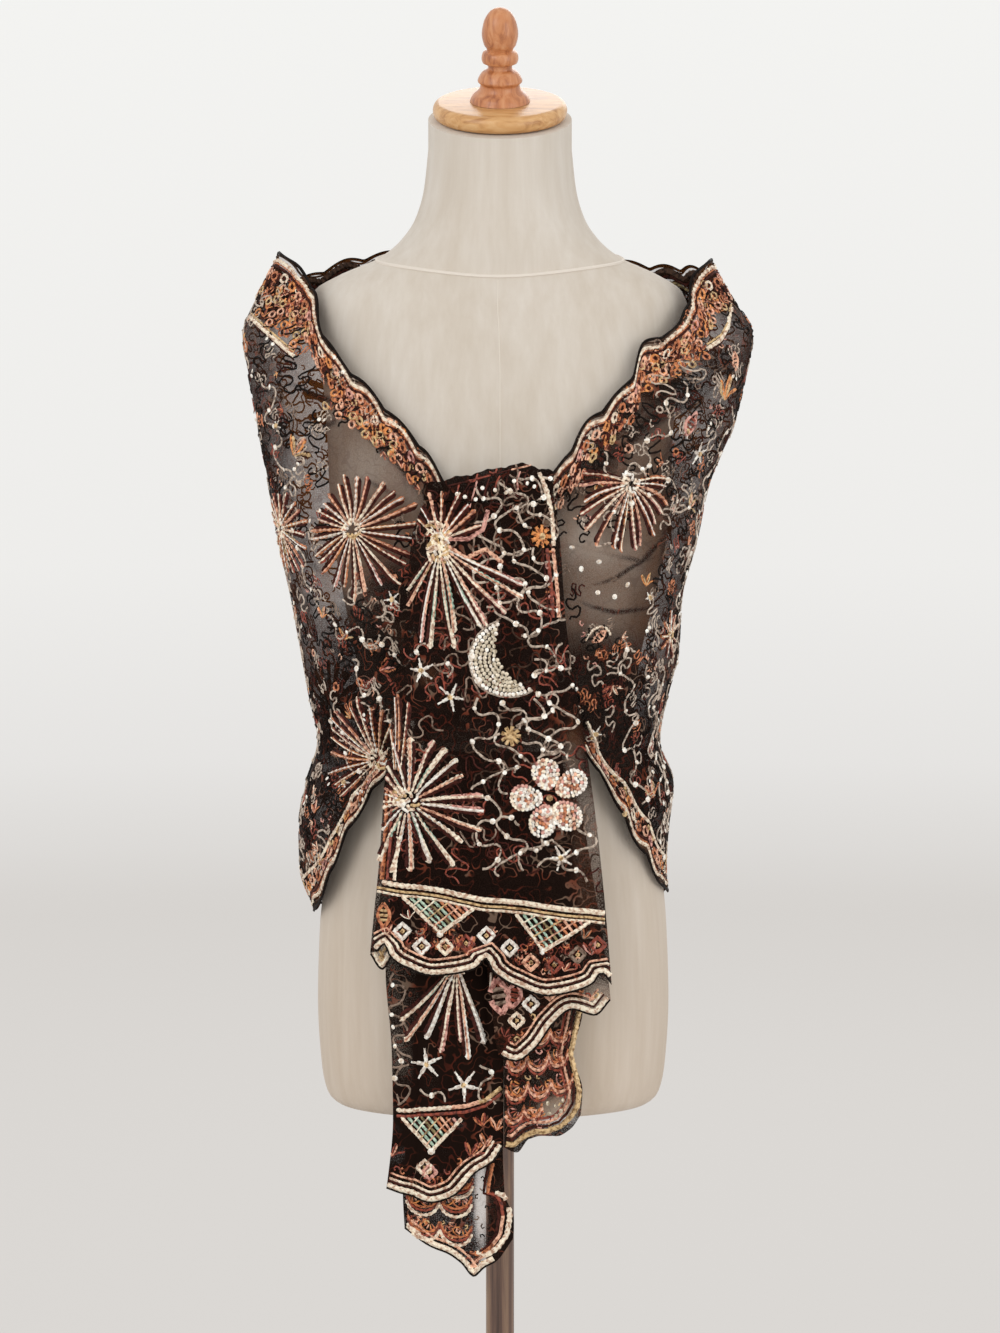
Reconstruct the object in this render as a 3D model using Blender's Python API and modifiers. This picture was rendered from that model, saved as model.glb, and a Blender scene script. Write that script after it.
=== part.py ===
"""An evening stole of embroidered net, worn on a limbless dress form that stands on a pole and a round base.

Metres, +Z up. The origin is the centre of the base's underside, and the form faces -Y.

The stole is one long rectangle of cloth. Worn, it goes round the back and over both upper arms. Its two ends
tie in a half knot at the breast: one is turned down in front as a panel, and the other hangs behind it as a
tail. Each stretch of it that shows is an open sheet with a Solidify modifier.
"""

from math import cos, pi, radians, sin

import bpy
import numpy as np

PART = "evening_stole_on_dress_form"

# The stand
BASE_RADIUS = 0.18
BASE_THICK = 0.024
BASE_ROUND = 0.006
BOSS_RADIUS = 0.032
BOSS_TOP = 0.042
BOSS_ROUND = 0.004
POLE_RADIUS = 0.0125
SEAM = 0.0003
TURN_STEPS = 40

# The torso, in level sections. lean moves a section's centre along X, and power is its superellipse's.
TORSO_COLUMNS = ("z", "half_width", "front", "back", "power", "lean")
TORSO = (
    (0.663, 0.126, 0.084, 0.092, 2.2, -0.006),
    (0.666, 0.139, 0.097, 0.105, 2.2, -0.006),
    (0.675, 0.147, 0.105, 0.113, 2.2, -0.006),
    (0.700, 0.152, 0.110, 0.118, 2.2, -0.006),
    (0.755, 0.155, 0.112, 0.122, 2.2, -0.006),
    (0.820, 0.153, 0.111, 0.122, 2.2, -0.006),
    (0.880, 0.146, 0.106, 0.114, 2.2, -0.005),
    (0.940, 0.132, 0.100, 0.101, 2.2, -0.004),
    (1.000, 0.121, 0.098, 0.088, 2.2, -0.003),
    (1.050, 0.124, 0.106, 0.084, 2.3, -0.002),
    (1.100, 0.134, 0.119, 0.086, 2.4, -0.001),
    (1.150, 0.144, 0.128, 0.091, 2.4, 0.000),
    (1.200, 0.149, 0.124, 0.096, 2.4, 0.000),
    (1.250, 0.151, 0.113, 0.099, 2.4, 0.000),
    (1.300, 0.155, 0.101, 0.098, 2.4, 0.000),
    (1.340, 0.162, 0.090, 0.093, 2.3, -0.001),
    (1.362, 0.166, 0.082, 0.086, 2.2, -0.002),
    (1.378, 0.160, 0.076, 0.080, 2.1, -0.002),
    (1.392, 0.138, 0.073, 0.077, 2.0, -0.001),
    (1.406, 0.106, 0.072, 0.076, 2.0, 0.000),
    (1.420, 0.088, 0.070, 0.073, 2.0, 0.000),
    (1.440, 0.074, 0.066, 0.068, 2.0, 0.000),
    (1.465, 0.0665, 0.0635, 0.0640, 2.0, 0.000),
    (1.500, 0.0625, 0.0625, 0.0625, 2.0, 0.000),
)
TORSO_SIDES = 40
NECK_TILT = radians(20)
NECK_TOP_Z = 1.527

# The neck cap and its finial, turned about the neck's own axis. FINIAL's columns are height and radius.
CAP_RADIUS = 0.0585
CAP_THICK = 0.015
FINIAL = (
    (0.082, 0.0012),
    (0.081, 0.0050),
    (0.077, 0.0100),
    (0.069, 0.0142),
    (0.059, 0.0158),
    (0.050, 0.0140),
    (0.045, 0.0112),
    (0.043, 0.0148),
    (0.038, 0.0160),
    (0.034, 0.0150),
    (0.032, 0.0105),
    (0.029, 0.0105),
    (0.026, 0.0150),
    (0.022, 0.0180),
    (0.018, 0.0195),
    (0.015, 0.0170),
    (0.011, 0.0180),
    (0.005, 0.0240),
    (0.000, 0.0262),
)

# The body of cloth: how far the stole stands out at each height
CLOTH_THICK = 0.0012
FORM_GAP = 0.004
CLOTH_POWER = 2.2
CLOTH_COLUMNS = ("z", "left", "right", "front", "back")
CLOTH_BODY = (
    (0.810, 0.166, 0.150, 0.120, 0.128),
    (0.832, 0.164, 0.149, 0.119, 0.130),
    (0.871, 0.176, 0.146, 0.118, 0.128),
    (0.908, 0.177, 0.148, 0.116, 0.124),
    (0.946, 0.170, 0.152, 0.114, 0.118),
    (0.985, 0.160, 0.140, 0.121, 0.112),
    (1.021, 0.167, 0.146, 0.131, 0.108),
    (1.060, 0.174, 0.156, 0.136, 0.106),
    (1.110, 0.183, 0.159, 0.139, 0.107),
    (1.160, 0.194, 0.172, 0.140, 0.109),
    (1.210, 0.203, 0.183, 0.134, 0.111),
    (1.260, 0.212, 0.204, 0.122, 0.113),
    (1.300, 0.219, 0.214, 0.108, 0.112),
    (1.340, 0.225, 0.221, 0.088, 0.108),
    (1.373, 0.212, 0.202, 0.066, 0.101),
    (1.400, 0.198, 0.187, 0.052, 0.094),
    (1.430, 0.184, 0.174, 0.045, 0.088),
)

# The wraps' two long edges, from the side of the shoulder or hip to the middle, as seen from the front
EDGE_COLUMNS = ("x", "z")
LEFT_TOP = (
    (-0.192, 1.412),
    (-0.171, 1.396),
    (-0.158, 1.378),
    (-0.155, 1.352),
    (-0.139, 1.322),
    (-0.115, 1.297),
    (-0.086, 1.266),
    (-0.066, 1.245),
    (-0.042, 1.210),
    (-0.001, 1.190),
)
LEFT_LOW = (
    (-0.164, 0.832),
    (-0.157, 0.845),
    (-0.146, 0.871),
    (-0.136, 0.899),
    (-0.119, 0.930),
    (-0.104, 0.953),
    (-0.087, 0.972),
    (-0.050, 0.988),
    (-0.001, 0.998),
)
RIGHT_TOP = (
    (0.183, 1.406),
    (0.165, 1.388),
    (0.159, 1.366),
    (0.154, 1.350),
    (0.122, 1.331),
    (0.112, 1.303),
    (0.094, 1.284),
    (0.073, 1.264),
    (0.054, 1.234),
    (0.042, 1.219),
    (0.001, 1.190),
)
RIGHT_LOW = (
    (0.149, 0.849),
    (0.138, 0.863),
    (0.127, 0.884),
    (0.113, 0.908),
    (0.095, 0.945),
    (0.082, 0.968),
    (0.070, 0.984),
    (0.040, 0.993),
    (0.001, 0.998),
)
BACK_TOP_COLUMNS = ("turn", "z")
BACK_TOP = (
    (0.0, 1.412),
    (14.0, 1.402),
    (28.0, 1.392),
    (48.0, 1.410),
    (66.0, 1.419),
    (90.0, 1.424),
    (114.0, 1.414),
    (140.0, 1.404),
    (160.0, 1.402),
    (180.0, 1.406),
)
BACK_LOW_Z = (0.832, 0.822, 0.849)

# The main folds of a wrap: the share of the cloth's width where the fold lies at the side and in the gather,
# its width, its depth, and how far along the wrap it starts. A minus depth is a trough.
LEFT_FOLDS = (
    (0.10, 0.14, 0.070, 0.006, 0.15),
    (0.24, 0.34, 0.060, -0.005, 0.30),
    (0.45, 0.52, 0.075, 0.007, 0.10),
    (0.60, 0.70, 0.065, -0.006, 0.00),
    (0.74, 0.86, 0.075, 0.007, 0.10),
    (0.88, 0.97, 0.060, -0.004, 0.20),
)
RIGHT_FOLDS = (
    (0.08, 0.16, 0.065, -0.004, 0.30),
    (0.20, 0.30, 0.070, 0.006, 0.15),
    (0.38, 0.46, 0.060, -0.006, 0.05),
    (0.50, 0.60, 0.075, 0.007, 0.00),
    (0.66, 0.74, 0.060, -0.006, 0.20),
    (0.80, 0.88, 0.080, 0.006, 0.05),
)
# The back's soft drag folds: height share at the left side and at the right side, width and depth
BACK_FOLDS = (
    (0.06, 0.30, 0.060, 0.004),
    (0.34, 0.12, 0.055, -0.004),
    (0.42, 0.52, 0.070, 0.005),
    (0.70, 0.60, 0.060, -0.004),
    (0.80, 0.86, 0.070, 0.005),
)

# The hanging stretches. Each row gives both side edges at one height, and how far forward the cloth is.
HANG_COLUMNS = ("z", "left", "right", "forward", "edge_back")
PANEL = (
    (1.196, -0.064, 0.045, 0.162, 0.010),
    (1.165, -0.074, 0.050, 0.164, 0.012),
    (1.098, -0.079, 0.055, 0.163, 0.012),
    (1.031, -0.088, 0.065, 0.159, 0.010),
    (0.972, -0.096, 0.075, 0.155, 0.006),
    (0.900, -0.101, 0.084, 0.154, 0.004),
    (0.850, -0.106, 0.089, 0.153, 0.003),
    (0.790, -0.112, 0.094, 0.152, 0.002),
)
HEM_COLUMNS = ("share", "z")
PANEL_HEM = (
    (0.00, 0.823),
    (0.06, 0.818),
    (0.28, 0.795),
    (0.48, 0.811),
    (0.55, 0.803),
    (0.72, 0.783),
    (0.93, 0.799),
    (1.00, 0.791),
)
LEAF = (
    (0.930, -0.092, 0.070, 0.1425, 0.002),
    (0.850, -0.103, 0.083, 0.1425, 0.002),
    (0.790, -0.112, 0.092, 0.1425, 0.002),
    (0.720, -0.112, 0.098, 0.1425, 0.002),
)
LEAF_HEM = (
    (0.00, 0.815),
    (0.06, 0.802),
    (0.12, 0.822),
    (0.48, 0.835),
    (0.53, 0.730),
    (0.60, 0.724),
    (0.68, 0.735),
    (0.76, 0.756),
    (0.84, 0.768),
    (0.93, 0.763),
    (1.00, 0.776),
)
TAIL = (
    (0.986, -0.070, 0.0030, 0.131, 0.002),
    (0.900, -0.088, 0.0030, 0.130, 0.002),
    (0.800, -0.097, 0.0030, 0.129, 0.002),
    (0.731, -0.092, 0.0030, 0.129, 0.002),
    (0.673, -0.091, 0.0030, 0.129, 0.002),
    (0.600, -0.098, 0.0030, 0.128, 0.002),
)
TAIL_HEM = (
    (0.00, 0.612),
    (0.18, 0.607),
    (0.38, 0.599),
    (0.58, 0.606),
    (0.76, 0.626),
    (0.90, 0.634),
    (1.00, 0.648),
)
RUFFLE = (
    (0.986, 0.0035, 0.052, 0.131, 0.000),
    (0.850, 0.0035, 0.066, 0.130, 0.000),
    (0.765, 0.0035, 0.070, 0.130, 0.000),
    (0.728, 0.0035, 0.062, 0.130, 0.000),
    (0.697, 0.0035, 0.070, 0.130, 0.000),
    (0.655, 0.0035, 0.066, 0.130, 0.000),
)
RUFFLE_HEM = (
    (0.00, 0.648),
    (0.18, 0.643),
    (0.34, 0.655),
    (0.52, 0.659),
    (0.74, 0.657),
    (0.90, 0.664),
    (1.00, 0.676),
)
TIP = (
    (0.655, -0.080, 0.002, 0.1165, 0.000),
    (0.606, -0.083, 0.004, 0.1165, 0.000),
    (0.582, -0.082, 0.012, 0.1165, 0.000),
    (0.530, -0.078, 0.006, 0.1165, 0.000),
)
TIP_HEM = (
    (0.00, 0.575),
    (0.20, 0.561),
    (0.40, 0.553),
    (0.52, 0.545),
    (0.66, 0.533),
    (0.76, 0.541),
    (0.88, 0.548),
    (1.00, 0.566),
)
# The pleats of a hanging stretch: where each lies at the top and at the hem, as shares of the width, then its
# width as a share, and its depth
PANEL_PLEATS = (
    (0.12, 0.10, 0.07, 0.005),
    (0.30, 0.28, 0.07, -0.004),
    (0.46, 0.46, 0.07, 0.005),
    (0.62, 0.64, 0.06, -0.004),
    (0.80, 0.83, 0.08, 0.005),
)
LEAF_PLEATS = ((0.20, 0.20, 0.10, 0.001), (0.70, 0.74, 0.10, -0.0015))
TAIL_PLEATS = (
    (0.14, 0.12, 0.08, 0.004),
    (0.42, 0.36, 0.10, -0.003),
    (0.70, 0.66, 0.09, 0.004),
)
RUFFLE_PLEATS = (
    (0.22, 0.24, 0.11, -0.005),
    (0.50, 0.52, 0.11, 0.005),
    (0.80, 0.80, 0.11, -0.006),
)
TIP_PLEATS = (
    (0.25, 0.30, 0.10, 0.002),
    (0.60, 0.58, 0.09, -0.002),
    (0.85, 0.85, 0.08, 0.002),
)

# The fold that the front end is turned down over
FOLD_BACK_Y = -0.1475
FOLD_FRONT_Y = -0.160
FOLD_BACK_Z = 1.180
FOLD_LEFT = -0.062
FOLD_RIGHT = 0.043
FOLD_CREST = (1.211, 1.217, 1.223, 1.228, 1.222)

# The scalloped border
SCALLOP_PITCH = 0.042
SCALLOP_DEPTH = 0.005

LINEN = (0.70, 0.65, 0.57, 1.0)
PALE_WOOD = (0.72, 0.42, 0.16, 1.0)
ORANGE_WOOD = (0.66, 0.33, 0.12, 1.0)
DARK_WOOD = (0.20, 0.10, 0.05, 1.0)
NET = (0.030, 0.022, 0.018, 1.0)


def clear_scene():
    for thing in list(bpy.data.objects):
        bpy.data.objects.remove(thing, do_unlink=True)


def table_column(table, columns, name):
    return np.array([row[columns.index(name)] for row in table], dtype=float)


def smooth_between(keys, values, at):
    """A smooth curve through the values, without overshoot, read at the given keys."""
    keys = np.asarray(keys, float)
    values = np.asarray(values, float)
    at = np.clip(np.asarray(at, float), keys[0], keys[-1])
    steps = np.diff(keys)
    slopes = np.diff(values) / steps
    tangents = np.zeros(len(keys))
    tangents[0] = slopes[0]
    tangents[-1] = slopes[-1]
    for i in range(1, len(keys) - 1):
        if slopes[i - 1] * slopes[i] > 0:
            before = 2 * steps[i] + steps[i - 1]
            after = steps[i] + 2 * steps[i - 1]
            tangents[i] = (before + after) / (before / slopes[i - 1] + after / slopes[i])
    left = np.clip(np.searchsorted(keys, at, side="right") - 1, 0, len(steps) - 1)
    t = (at - keys[left]) / steps[left]
    return (
        values[left] * (1 + 2 * t) * (1 - t) ** 2
        + tangents[left] * steps[left] * t * (1 - t) ** 2
        + values[left + 1] * t**2 * (3 - 2 * t)
        + tangents[left + 1] * steps[left] * t**2 * (t - 1)
    )


def read_table(table, columns, key, name, at):
    rows = sorted(table, key=lambda row: row[columns.index(key)])
    keys = table_column(rows, columns, key)
    return smooth_between(keys, table_column(rows, columns, name), at)


def signed_power(value, power):
    return np.sign(value) * np.abs(value) ** power


def torso_at(name, z):
    return float(read_table(TORSO, TORSO_COLUMNS, "z", name, z))


def cloth_at(name, z):
    return float(read_table(CLOTH_BODY, CLOTH_COLUMNS, "z", name, z))


def clear_of_form(x, y, z, gap):
    """Moves a point straight out from the form's axis until it is a gap away from the torso."""
    lean = torso_at("lean", z)
    deep = torso_at("front", z) if y < 0 else torso_at("back", z)
    power = torso_at("power", z)
    across = abs(x - lean) / torso_at("half_width", z)
    fill = (across**power + (abs(y) / deep) ** power) ** (1 / power)
    reach = np.hypot(x - lean, y)
    least = reach / fill + gap
    if reach < least:
        x = lean + (x - lean) * least / reach
        y = y * least / reach
    return x, y


def edge_points(edge, shares):
    """x and z along an edge, at shares of its length."""
    x = table_column(edge, EDGE_COLUMNS, "x")
    z = table_column(edge, EDGE_COLUMNS, "z")
    run = np.concatenate([[0.0], np.cumsum(np.hypot(np.diff(x), np.diff(z)))])
    return (
        smooth_between(run / run[-1], x, shares),
        smooth_between(run / run[-1], z, shares),
        run[-1],
    )


def turn_of(x, z, side):
    """How far round from the side of the cloth's section a point at x is, in radians."""
    share = min(abs(x) / cloth_at(side, z), 1.0)
    return np.arccos(share ** (CLOTH_POWER / 2))


def on_cloth_body(turn, z, side, stand_out):
    """The point of the cloth's section at this turn. Turns are 0 at the side and 90 degrees at the middle."""
    sign = -1.0 if side == "left" else 1.0
    depth = -cloth_at("front", z) if turn >= 0 else cloth_at("back", z)
    x = sign * (cloth_at(side, z) * abs(cos(turn)) ** (2 / CLOTH_POWER) + stand_out * cos(turn))
    y = depth * abs(sin(turn)) ** (2 / CLOTH_POWER) - stand_out * sin(turn)
    return x, y


def bump(distance, wide):
    return np.exp(-((distance / wide) ** 2))


def wrap_folds(folds, u, v):
    rise = 0.0
    for outer, inner, wide, depth, start in folds:
        strength = np.clip((u - start) / (1 - start), 0, 1) ** 0.7
        rise += depth * strength * bump(v - (outer + (inner - outer) * u), wide)
    return rise


def scallop(run):
    """How far a scalloped edge stands in at this run along it: 0 at the lobes and the depth at the cusps."""
    return SCALLOP_DEPTH * (1 - abs(sin(pi * run / SCALLOP_PITCH)))


def wrap_points(side, top, low, folds, across, down):
    """The front wrap of one side, as rows of points from its top edge to its lower edge."""
    shares = np.linspace(0, 1, across + 1) ** 0.92
    top_x, top_z, top_run = edge_points(top, shares)
    low_x, low_z, low_run = edge_points(low, shares)
    rows = []
    for j in range(down + 1):
        v = j / down
        row = []
        for i, u in enumerate(shares):
            fade = min(1.0, 4 * (1 - u))
            upper_z = top_z[i] - scallop(u * top_run) * fade
            lower_z = low_z[i] + scallop(u * low_run) * fade
            z = upper_z + (lower_z - upper_z) * v
            turn_top = turn_of(top_x[i], top_z[i], side)
            turn_low = turn_of(low_x[i], low_z[i], side)
            if i == 0:
                turn_top = turn_low = 0.0
            turn = turn_top + (turn_low - turn_top) * v
            x, y = on_cloth_body(turn, z, side, wrap_folds(folds, u, v))
            x, y = clear_of_form(x, y, z, FORM_GAP)
            if i == across:
                x = top_x[i]
            row.append((x, y, z))
        rows.append(row)
    return rows


def back_folds(share, v):
    """The back's relief, which fades out at both sides so that it meets the wraps."""
    rise = 0.0
    for left, right, wide, depth in BACK_FOLDS:
        rise += depth * bump(v - (left + (right - left) * share), wide)
    return rise * max(sin(pi * share), 0.0) ** 0.5


def back_points(side, across, down):
    """One half of the back, from the left side round to the right side, in rows from its top edge down."""
    turns = np.linspace(0, 90, across + 1) if side == "left" else np.linspace(90, 180, across + 1)
    top_z = read_table(BACK_TOP, BACK_TOP_COLUMNS, "turn", "z", turns)
    low_z = smooth_between((0, 90, 180), BACK_LOW_Z, turns)
    girth = pi * cloth_at("back", 1.3) + 2 * (cloth_at("left", 1.3) - cloth_at("back", 1.3))
    rows = []
    for j in range(down + 1):
        v = j / down
        row = []
        for i, degrees in enumerate(turns):
            turn = radians(degrees if side == "left" else 180 - degrees)
            inset = scallop(degrees / 180 * girth) * min(1.0, turn * 4)
            z = (top_z[i] - inset) * (1 - v) + (low_z[i] + inset) * v
            x, y = on_cloth_body(-turn, z, side, back_folds(degrees / 180, v))
            x, y = clear_of_form(x, y, z, FORM_GAP)
            if degrees in (0, 180):
                y += SEAM + CLOTH_THICK
            if degrees == 90:
                x = -SEAM if side == "left" else SEAM
            row.append((x, y, z))
        rows.append(row)
    return rows


def pleat_rise(pleats, u, v):
    return sum(
        depth * bump(u - (top + (hem - top) * v), wide) * min(1.0, 0.3 + 1.4 * v)
        for top, hem, wide, depth in pleats
    )


def hang_points(stretch, hem, pleats, across, down):
    """A stretch that hangs in front, in rows from its top to its hem."""
    start_z = stretch[0][0]
    rows = []
    for j in range(down + 1):
        v = j / down
        row = []
        for i in range(across + 1):
            u = i / across
            hem_z = float(read_table(hem, HEM_COLUMNS, "share", "z", u))
            z = start_z + (hem_z - start_z) * v
            left, right, forward, edge_back = (
                float(read_table(stretch, HANG_COLUMNS, "z", name, z)) for name in HANG_COLUMNS[1:]
            )
            x = left + (right - left) * u
            y = -forward + edge_back * (2 * u - 1) ** 2 - pleat_rise(pleats, u, v)
            row.append((x, y, z))
        rows.append(row)
    return rows


def fold_points(across, down):
    """The roll at the top of the panel, from behind it over the crest to its front."""
    crest_at = np.linspace(0, 1, len(FOLD_CREST))
    middle_y = (FOLD_BACK_Y + FOLD_FRONT_Y) / 2
    half_y = (FOLD_BACK_Y - FOLD_FRONT_Y) / 2
    front_z = PANEL[0][0] + CLOTH_THICK
    panel_top = hang_points(PANEL, PANEL_HEM, PANEL_PLEATS, across, 1)[0]
    rows = []
    for j in range(down + 1):
        angle = pi * j / down
        row = []
        for i in range(across + 1):
            u = i / across
            crest = float(smooth_between(crest_at, FOLD_CREST, u))
            foot = FOLD_BACK_Z + (front_z - FOLD_BACK_Z) * (j / down)
            x = FOLD_LEFT + (FOLD_RIGHT - FOLD_LEFT) * u
            x += (panel_top[i][0] - x) * (j / down)
            y = middle_y + half_y * cos(angle)
            y += (panel_top[i][1] - y) * (j / down) ** 2
            row.append((x, y, foot + (crest - foot) * sin(angle)))
        rows.append(row)
    return rows


def material(name, colour, roughness):
    made = bpy.data.materials.new(name)
    made.use_nodes = True
    shader = made.node_tree.nodes["Principled BSDF"]
    shader.inputs["Base Color"].default_value = colour
    shader.inputs["Roughness"].default_value = roughness
    made.diffuse_color = colour
    return made


def add_object(name, data, finish, collection):
    thing = bpy.data.objects.new(name, data)
    data.materials.append(finish)
    collection.objects.link(thing)
    return thing


def grid_faces(rows_count, row_length, closed):
    faces = []
    for j in range(rows_count - 1):
        for i in range(row_length if closed else row_length - 1):
            k = (i + 1) % row_length
            a = j * row_length
            b = a + row_length
            faces.append((a + i, a + k, b + k, b + i))
    return faces


def add_sheet(name, rows, finish, collection):
    """An open sheet through rows of points, made a wall by a Solidify modifier."""
    mesh = bpy.data.meshes.new(name)
    points = [point for row in rows for point in row]
    mesh.from_pydata(points, [], grid_faces(len(rows), len(rows[0]), False))
    mesh.shade_smooth()
    thing = add_object(name, mesh, finish, collection)
    wall = thing.modifiers.new("Wall", "SOLIDIFY")
    wall.thickness = CLOTH_THICK
    wall.offset = 0.0
    return thing


def add_turned(name, profile, finish, collection):
    """A turned piece. Its profile runs from the axis at the top, down the outside, to the axis at the foot."""
    mesh = bpy.data.meshes.new(name)
    points = [(radius, 0.0, height) for radius, height in profile]
    mesh.from_pydata(points, [(i, i + 1) for i in range(len(points) - 1)], [])
    thing = add_object(name, mesh, finish, collection)
    turn = thing.modifiers.new("Turn", "SCREW")
    turn.steps = TURN_STEPS
    turn.render_steps = TURN_STEPS
    turn.use_merge_vertices = True
    turn.merge_threshold = 0.0001
    turn.use_smooth_shade = True
    return thing


def rounded_corner(radius, height, size, steps=4):
    """The outer points of a rounded upper edge, from the top face round to the side."""
    return [
        (radius - size + size * sin(pi / 2 * i / steps), height - size + size * cos(pi / 2 * i / steps))
        for i in range(steps + 1)
    ]


def torso_rings():
    rings = []
    for z, half_width, front, back, power, lean in TORSO:
        ring = []
        for i in range(TORSO_SIDES):
            angle = 2 * pi * i / TORSO_SIDES
            deep = back if sin(angle) > 0 else front
            x = lean + half_width * signed_power(cos(angle), 2 / power)
            y = deep * signed_power(sin(angle), 2 / power)
            ring.append((float(x), float(y), z))
        rings.append(ring)
    return rings


def neck_top_ring():
    """The cut at the top of the neck, tilted forward."""
    radius = TORSO[-1][1]
    ring = []
    for i in range(TORSO_SIDES):
        angle = 2 * pi * i / TORSO_SIDES
        y = radius * sin(angle)
        ring.append((radius * cos(angle), y, NECK_TOP_Z + y * np.tan(NECK_TILT)))
    return ring


def add_torso(finish, collection):
    """The torso and neck, a loft through level sections that ends in a tilted cut."""
    rings = torso_rings() + [neck_top_ring()]
    points = [point for ring in rings for point in ring]
    faces = grid_faces(len(rings), TORSO_SIDES, True)
    for first, order in ((0, -1), (len(points) - TORSO_SIDES, 1)):
        faces.append(tuple(first + i for i in range(TORSO_SIDES))[::order])
    mesh = bpy.data.meshes.new("form_torso")
    mesh.from_pydata(points, [], faces)
    mesh.shade_smooth()
    mesh.set_sharp_from_angle(angle=radians(50))
    return add_object("form_torso", mesh, finish, collection)


def add_neck_pieces(cap_finish, finial_finish, collection):
    """The tilted wooden cap on the neck, and the finial on it."""
    up = np.array([0.0, -sin(NECK_TILT), cos(NECK_TILT)])
    seat = np.array([0.0, 0.0, NECK_TOP_Z]) + up * SEAM
    half = CAP_THICK / 2
    rim = [
        (CAP_RADIUS - half * 0.8 + half * 0.8 * sin(a), half + half * cos(a))
        for a in (pi * i / 8 for i in range(9))
    ]
    cap = [(0.0, CAP_THICK)] + rim + [(0.0, 0.0)]
    finial = [(0.0, FINIAL[0][0])] + [(radius, height) for height, radius in FINIAL] + [(0.0, 0.0)]
    for name, profile, lift, finish in (
        ("form_neck_cap", cap, 0.0, cap_finish),
        ("form_finial", finial, CAP_THICK + SEAM, finial_finish),
    ):
        piece = add_turned(name, profile, finish, collection)
        piece.location = seat + up * lift
        piece.rotation_euler = (NECK_TILT, 0.0, 0.0)


def add_stand(finish, collection):
    """The pole and its round base, with a low boss round the pole's foot."""
    base = [(0.0, BOSS_TOP)]
    base += rounded_corner(BOSS_RADIUS, BOSS_TOP, BOSS_ROUND)
    base += [(BOSS_RADIUS, BASE_THICK)]
    base += rounded_corner(BASE_RADIUS, BASE_THICK, BASE_ROUND)
    base += [(BASE_RADIUS, 0.002), (BASE_RADIUS - 0.002, 0.0), (0.0, 0.0)]
    add_turned("form_base", base, finish, collection)
    top = TORSO[0][0] - SEAM
    foot = BOSS_TOP + SEAM
    pole = [(0.0, top), (POLE_RADIUS, top), (POLE_RADIUS, foot), (0.0, foot)]
    add_turned("form_pole", pole, finish, collection)


def add_stole(finish, collection):
    left = wrap_points("left", LEFT_TOP, LEFT_LOW, LEFT_FOLDS, 20, 18)
    right = wrap_points("right", RIGHT_TOP, RIGHT_LOW, RIGHT_FOLDS, 20, 18)
    for name, rows in (
        ("stole_back_left", back_points("left", 14, 12)),
        ("stole_back_right", back_points("right", 14, 12)),
        ("stole_wrap_left", [row[::-1] for row in left]),
        ("stole_wrap_right", right),
        ("stole_tie_fold", fold_points(12, 8)),
        ("stole_front_panel", hang_points(PANEL, PANEL_HEM, PANEL_PLEATS, 18, 14)),
        ("stole_front_leaf", hang_points(LEAF, LEAF_HEM, LEAF_PLEATS, 20, 6)),
        ("stole_tail", hang_points(TAIL, TAIL_HEM, TAIL_PLEATS, 12, 14)),
        ("stole_tail_ruffle", hang_points(RUFFLE, RUFFLE_HEM, RUFFLE_PLEATS, 12, 12)),
        ("stole_tail_tip", hang_points(TIP, TIP_HEM, TIP_PLEATS, 14, 6)),
    ):
        add_sheet(name, rows, finish, collection)


def main():
    clear_scene()
    collection = bpy.data.collections.new(PART)
    bpy.context.scene.collection.children.link(collection)
    linen = material("Linen", LINEN, 0.85)
    pale_wood = material("Pale wood", PALE_WOOD, 0.35)
    orange_wood = material("Orange wood", ORANGE_WOOD, 0.35)
    dark_wood = material("Dark wood", DARK_WOOD, 0.45)
    net = material("Embroidered net", NET, 0.8)
    add_torso(linen, collection)
    add_neck_pieces(pale_wood, orange_wood, collection)
    add_stand(dark_wood, collection)
    add_stole(net, collection)


main()
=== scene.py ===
import random
from math import acos, cos, degrees, hypot, pi, radians, sin, tan

import bpy
import numpy as np
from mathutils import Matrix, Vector
from mathutils.bvhtree import BVHTree


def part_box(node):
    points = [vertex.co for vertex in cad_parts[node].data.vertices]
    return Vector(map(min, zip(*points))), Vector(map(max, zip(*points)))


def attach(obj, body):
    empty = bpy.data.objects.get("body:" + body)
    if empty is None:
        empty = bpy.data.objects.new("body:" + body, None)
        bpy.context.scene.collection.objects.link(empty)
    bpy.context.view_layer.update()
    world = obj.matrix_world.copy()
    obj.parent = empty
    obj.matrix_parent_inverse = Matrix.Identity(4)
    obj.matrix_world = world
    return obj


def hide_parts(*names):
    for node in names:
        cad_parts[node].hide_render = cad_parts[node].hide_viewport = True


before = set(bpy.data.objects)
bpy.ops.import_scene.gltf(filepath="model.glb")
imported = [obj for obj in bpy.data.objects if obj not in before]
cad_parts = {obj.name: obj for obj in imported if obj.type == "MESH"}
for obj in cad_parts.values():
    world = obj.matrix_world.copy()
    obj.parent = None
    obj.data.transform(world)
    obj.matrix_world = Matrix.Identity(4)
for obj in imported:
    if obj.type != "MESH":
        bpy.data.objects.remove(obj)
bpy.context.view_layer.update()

# ---------------------------------------------------------------------------------------------------------
# The form and the cloth, in the solids' own sizes
# ---------------------------------------------------------------------------------------------------------

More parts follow.
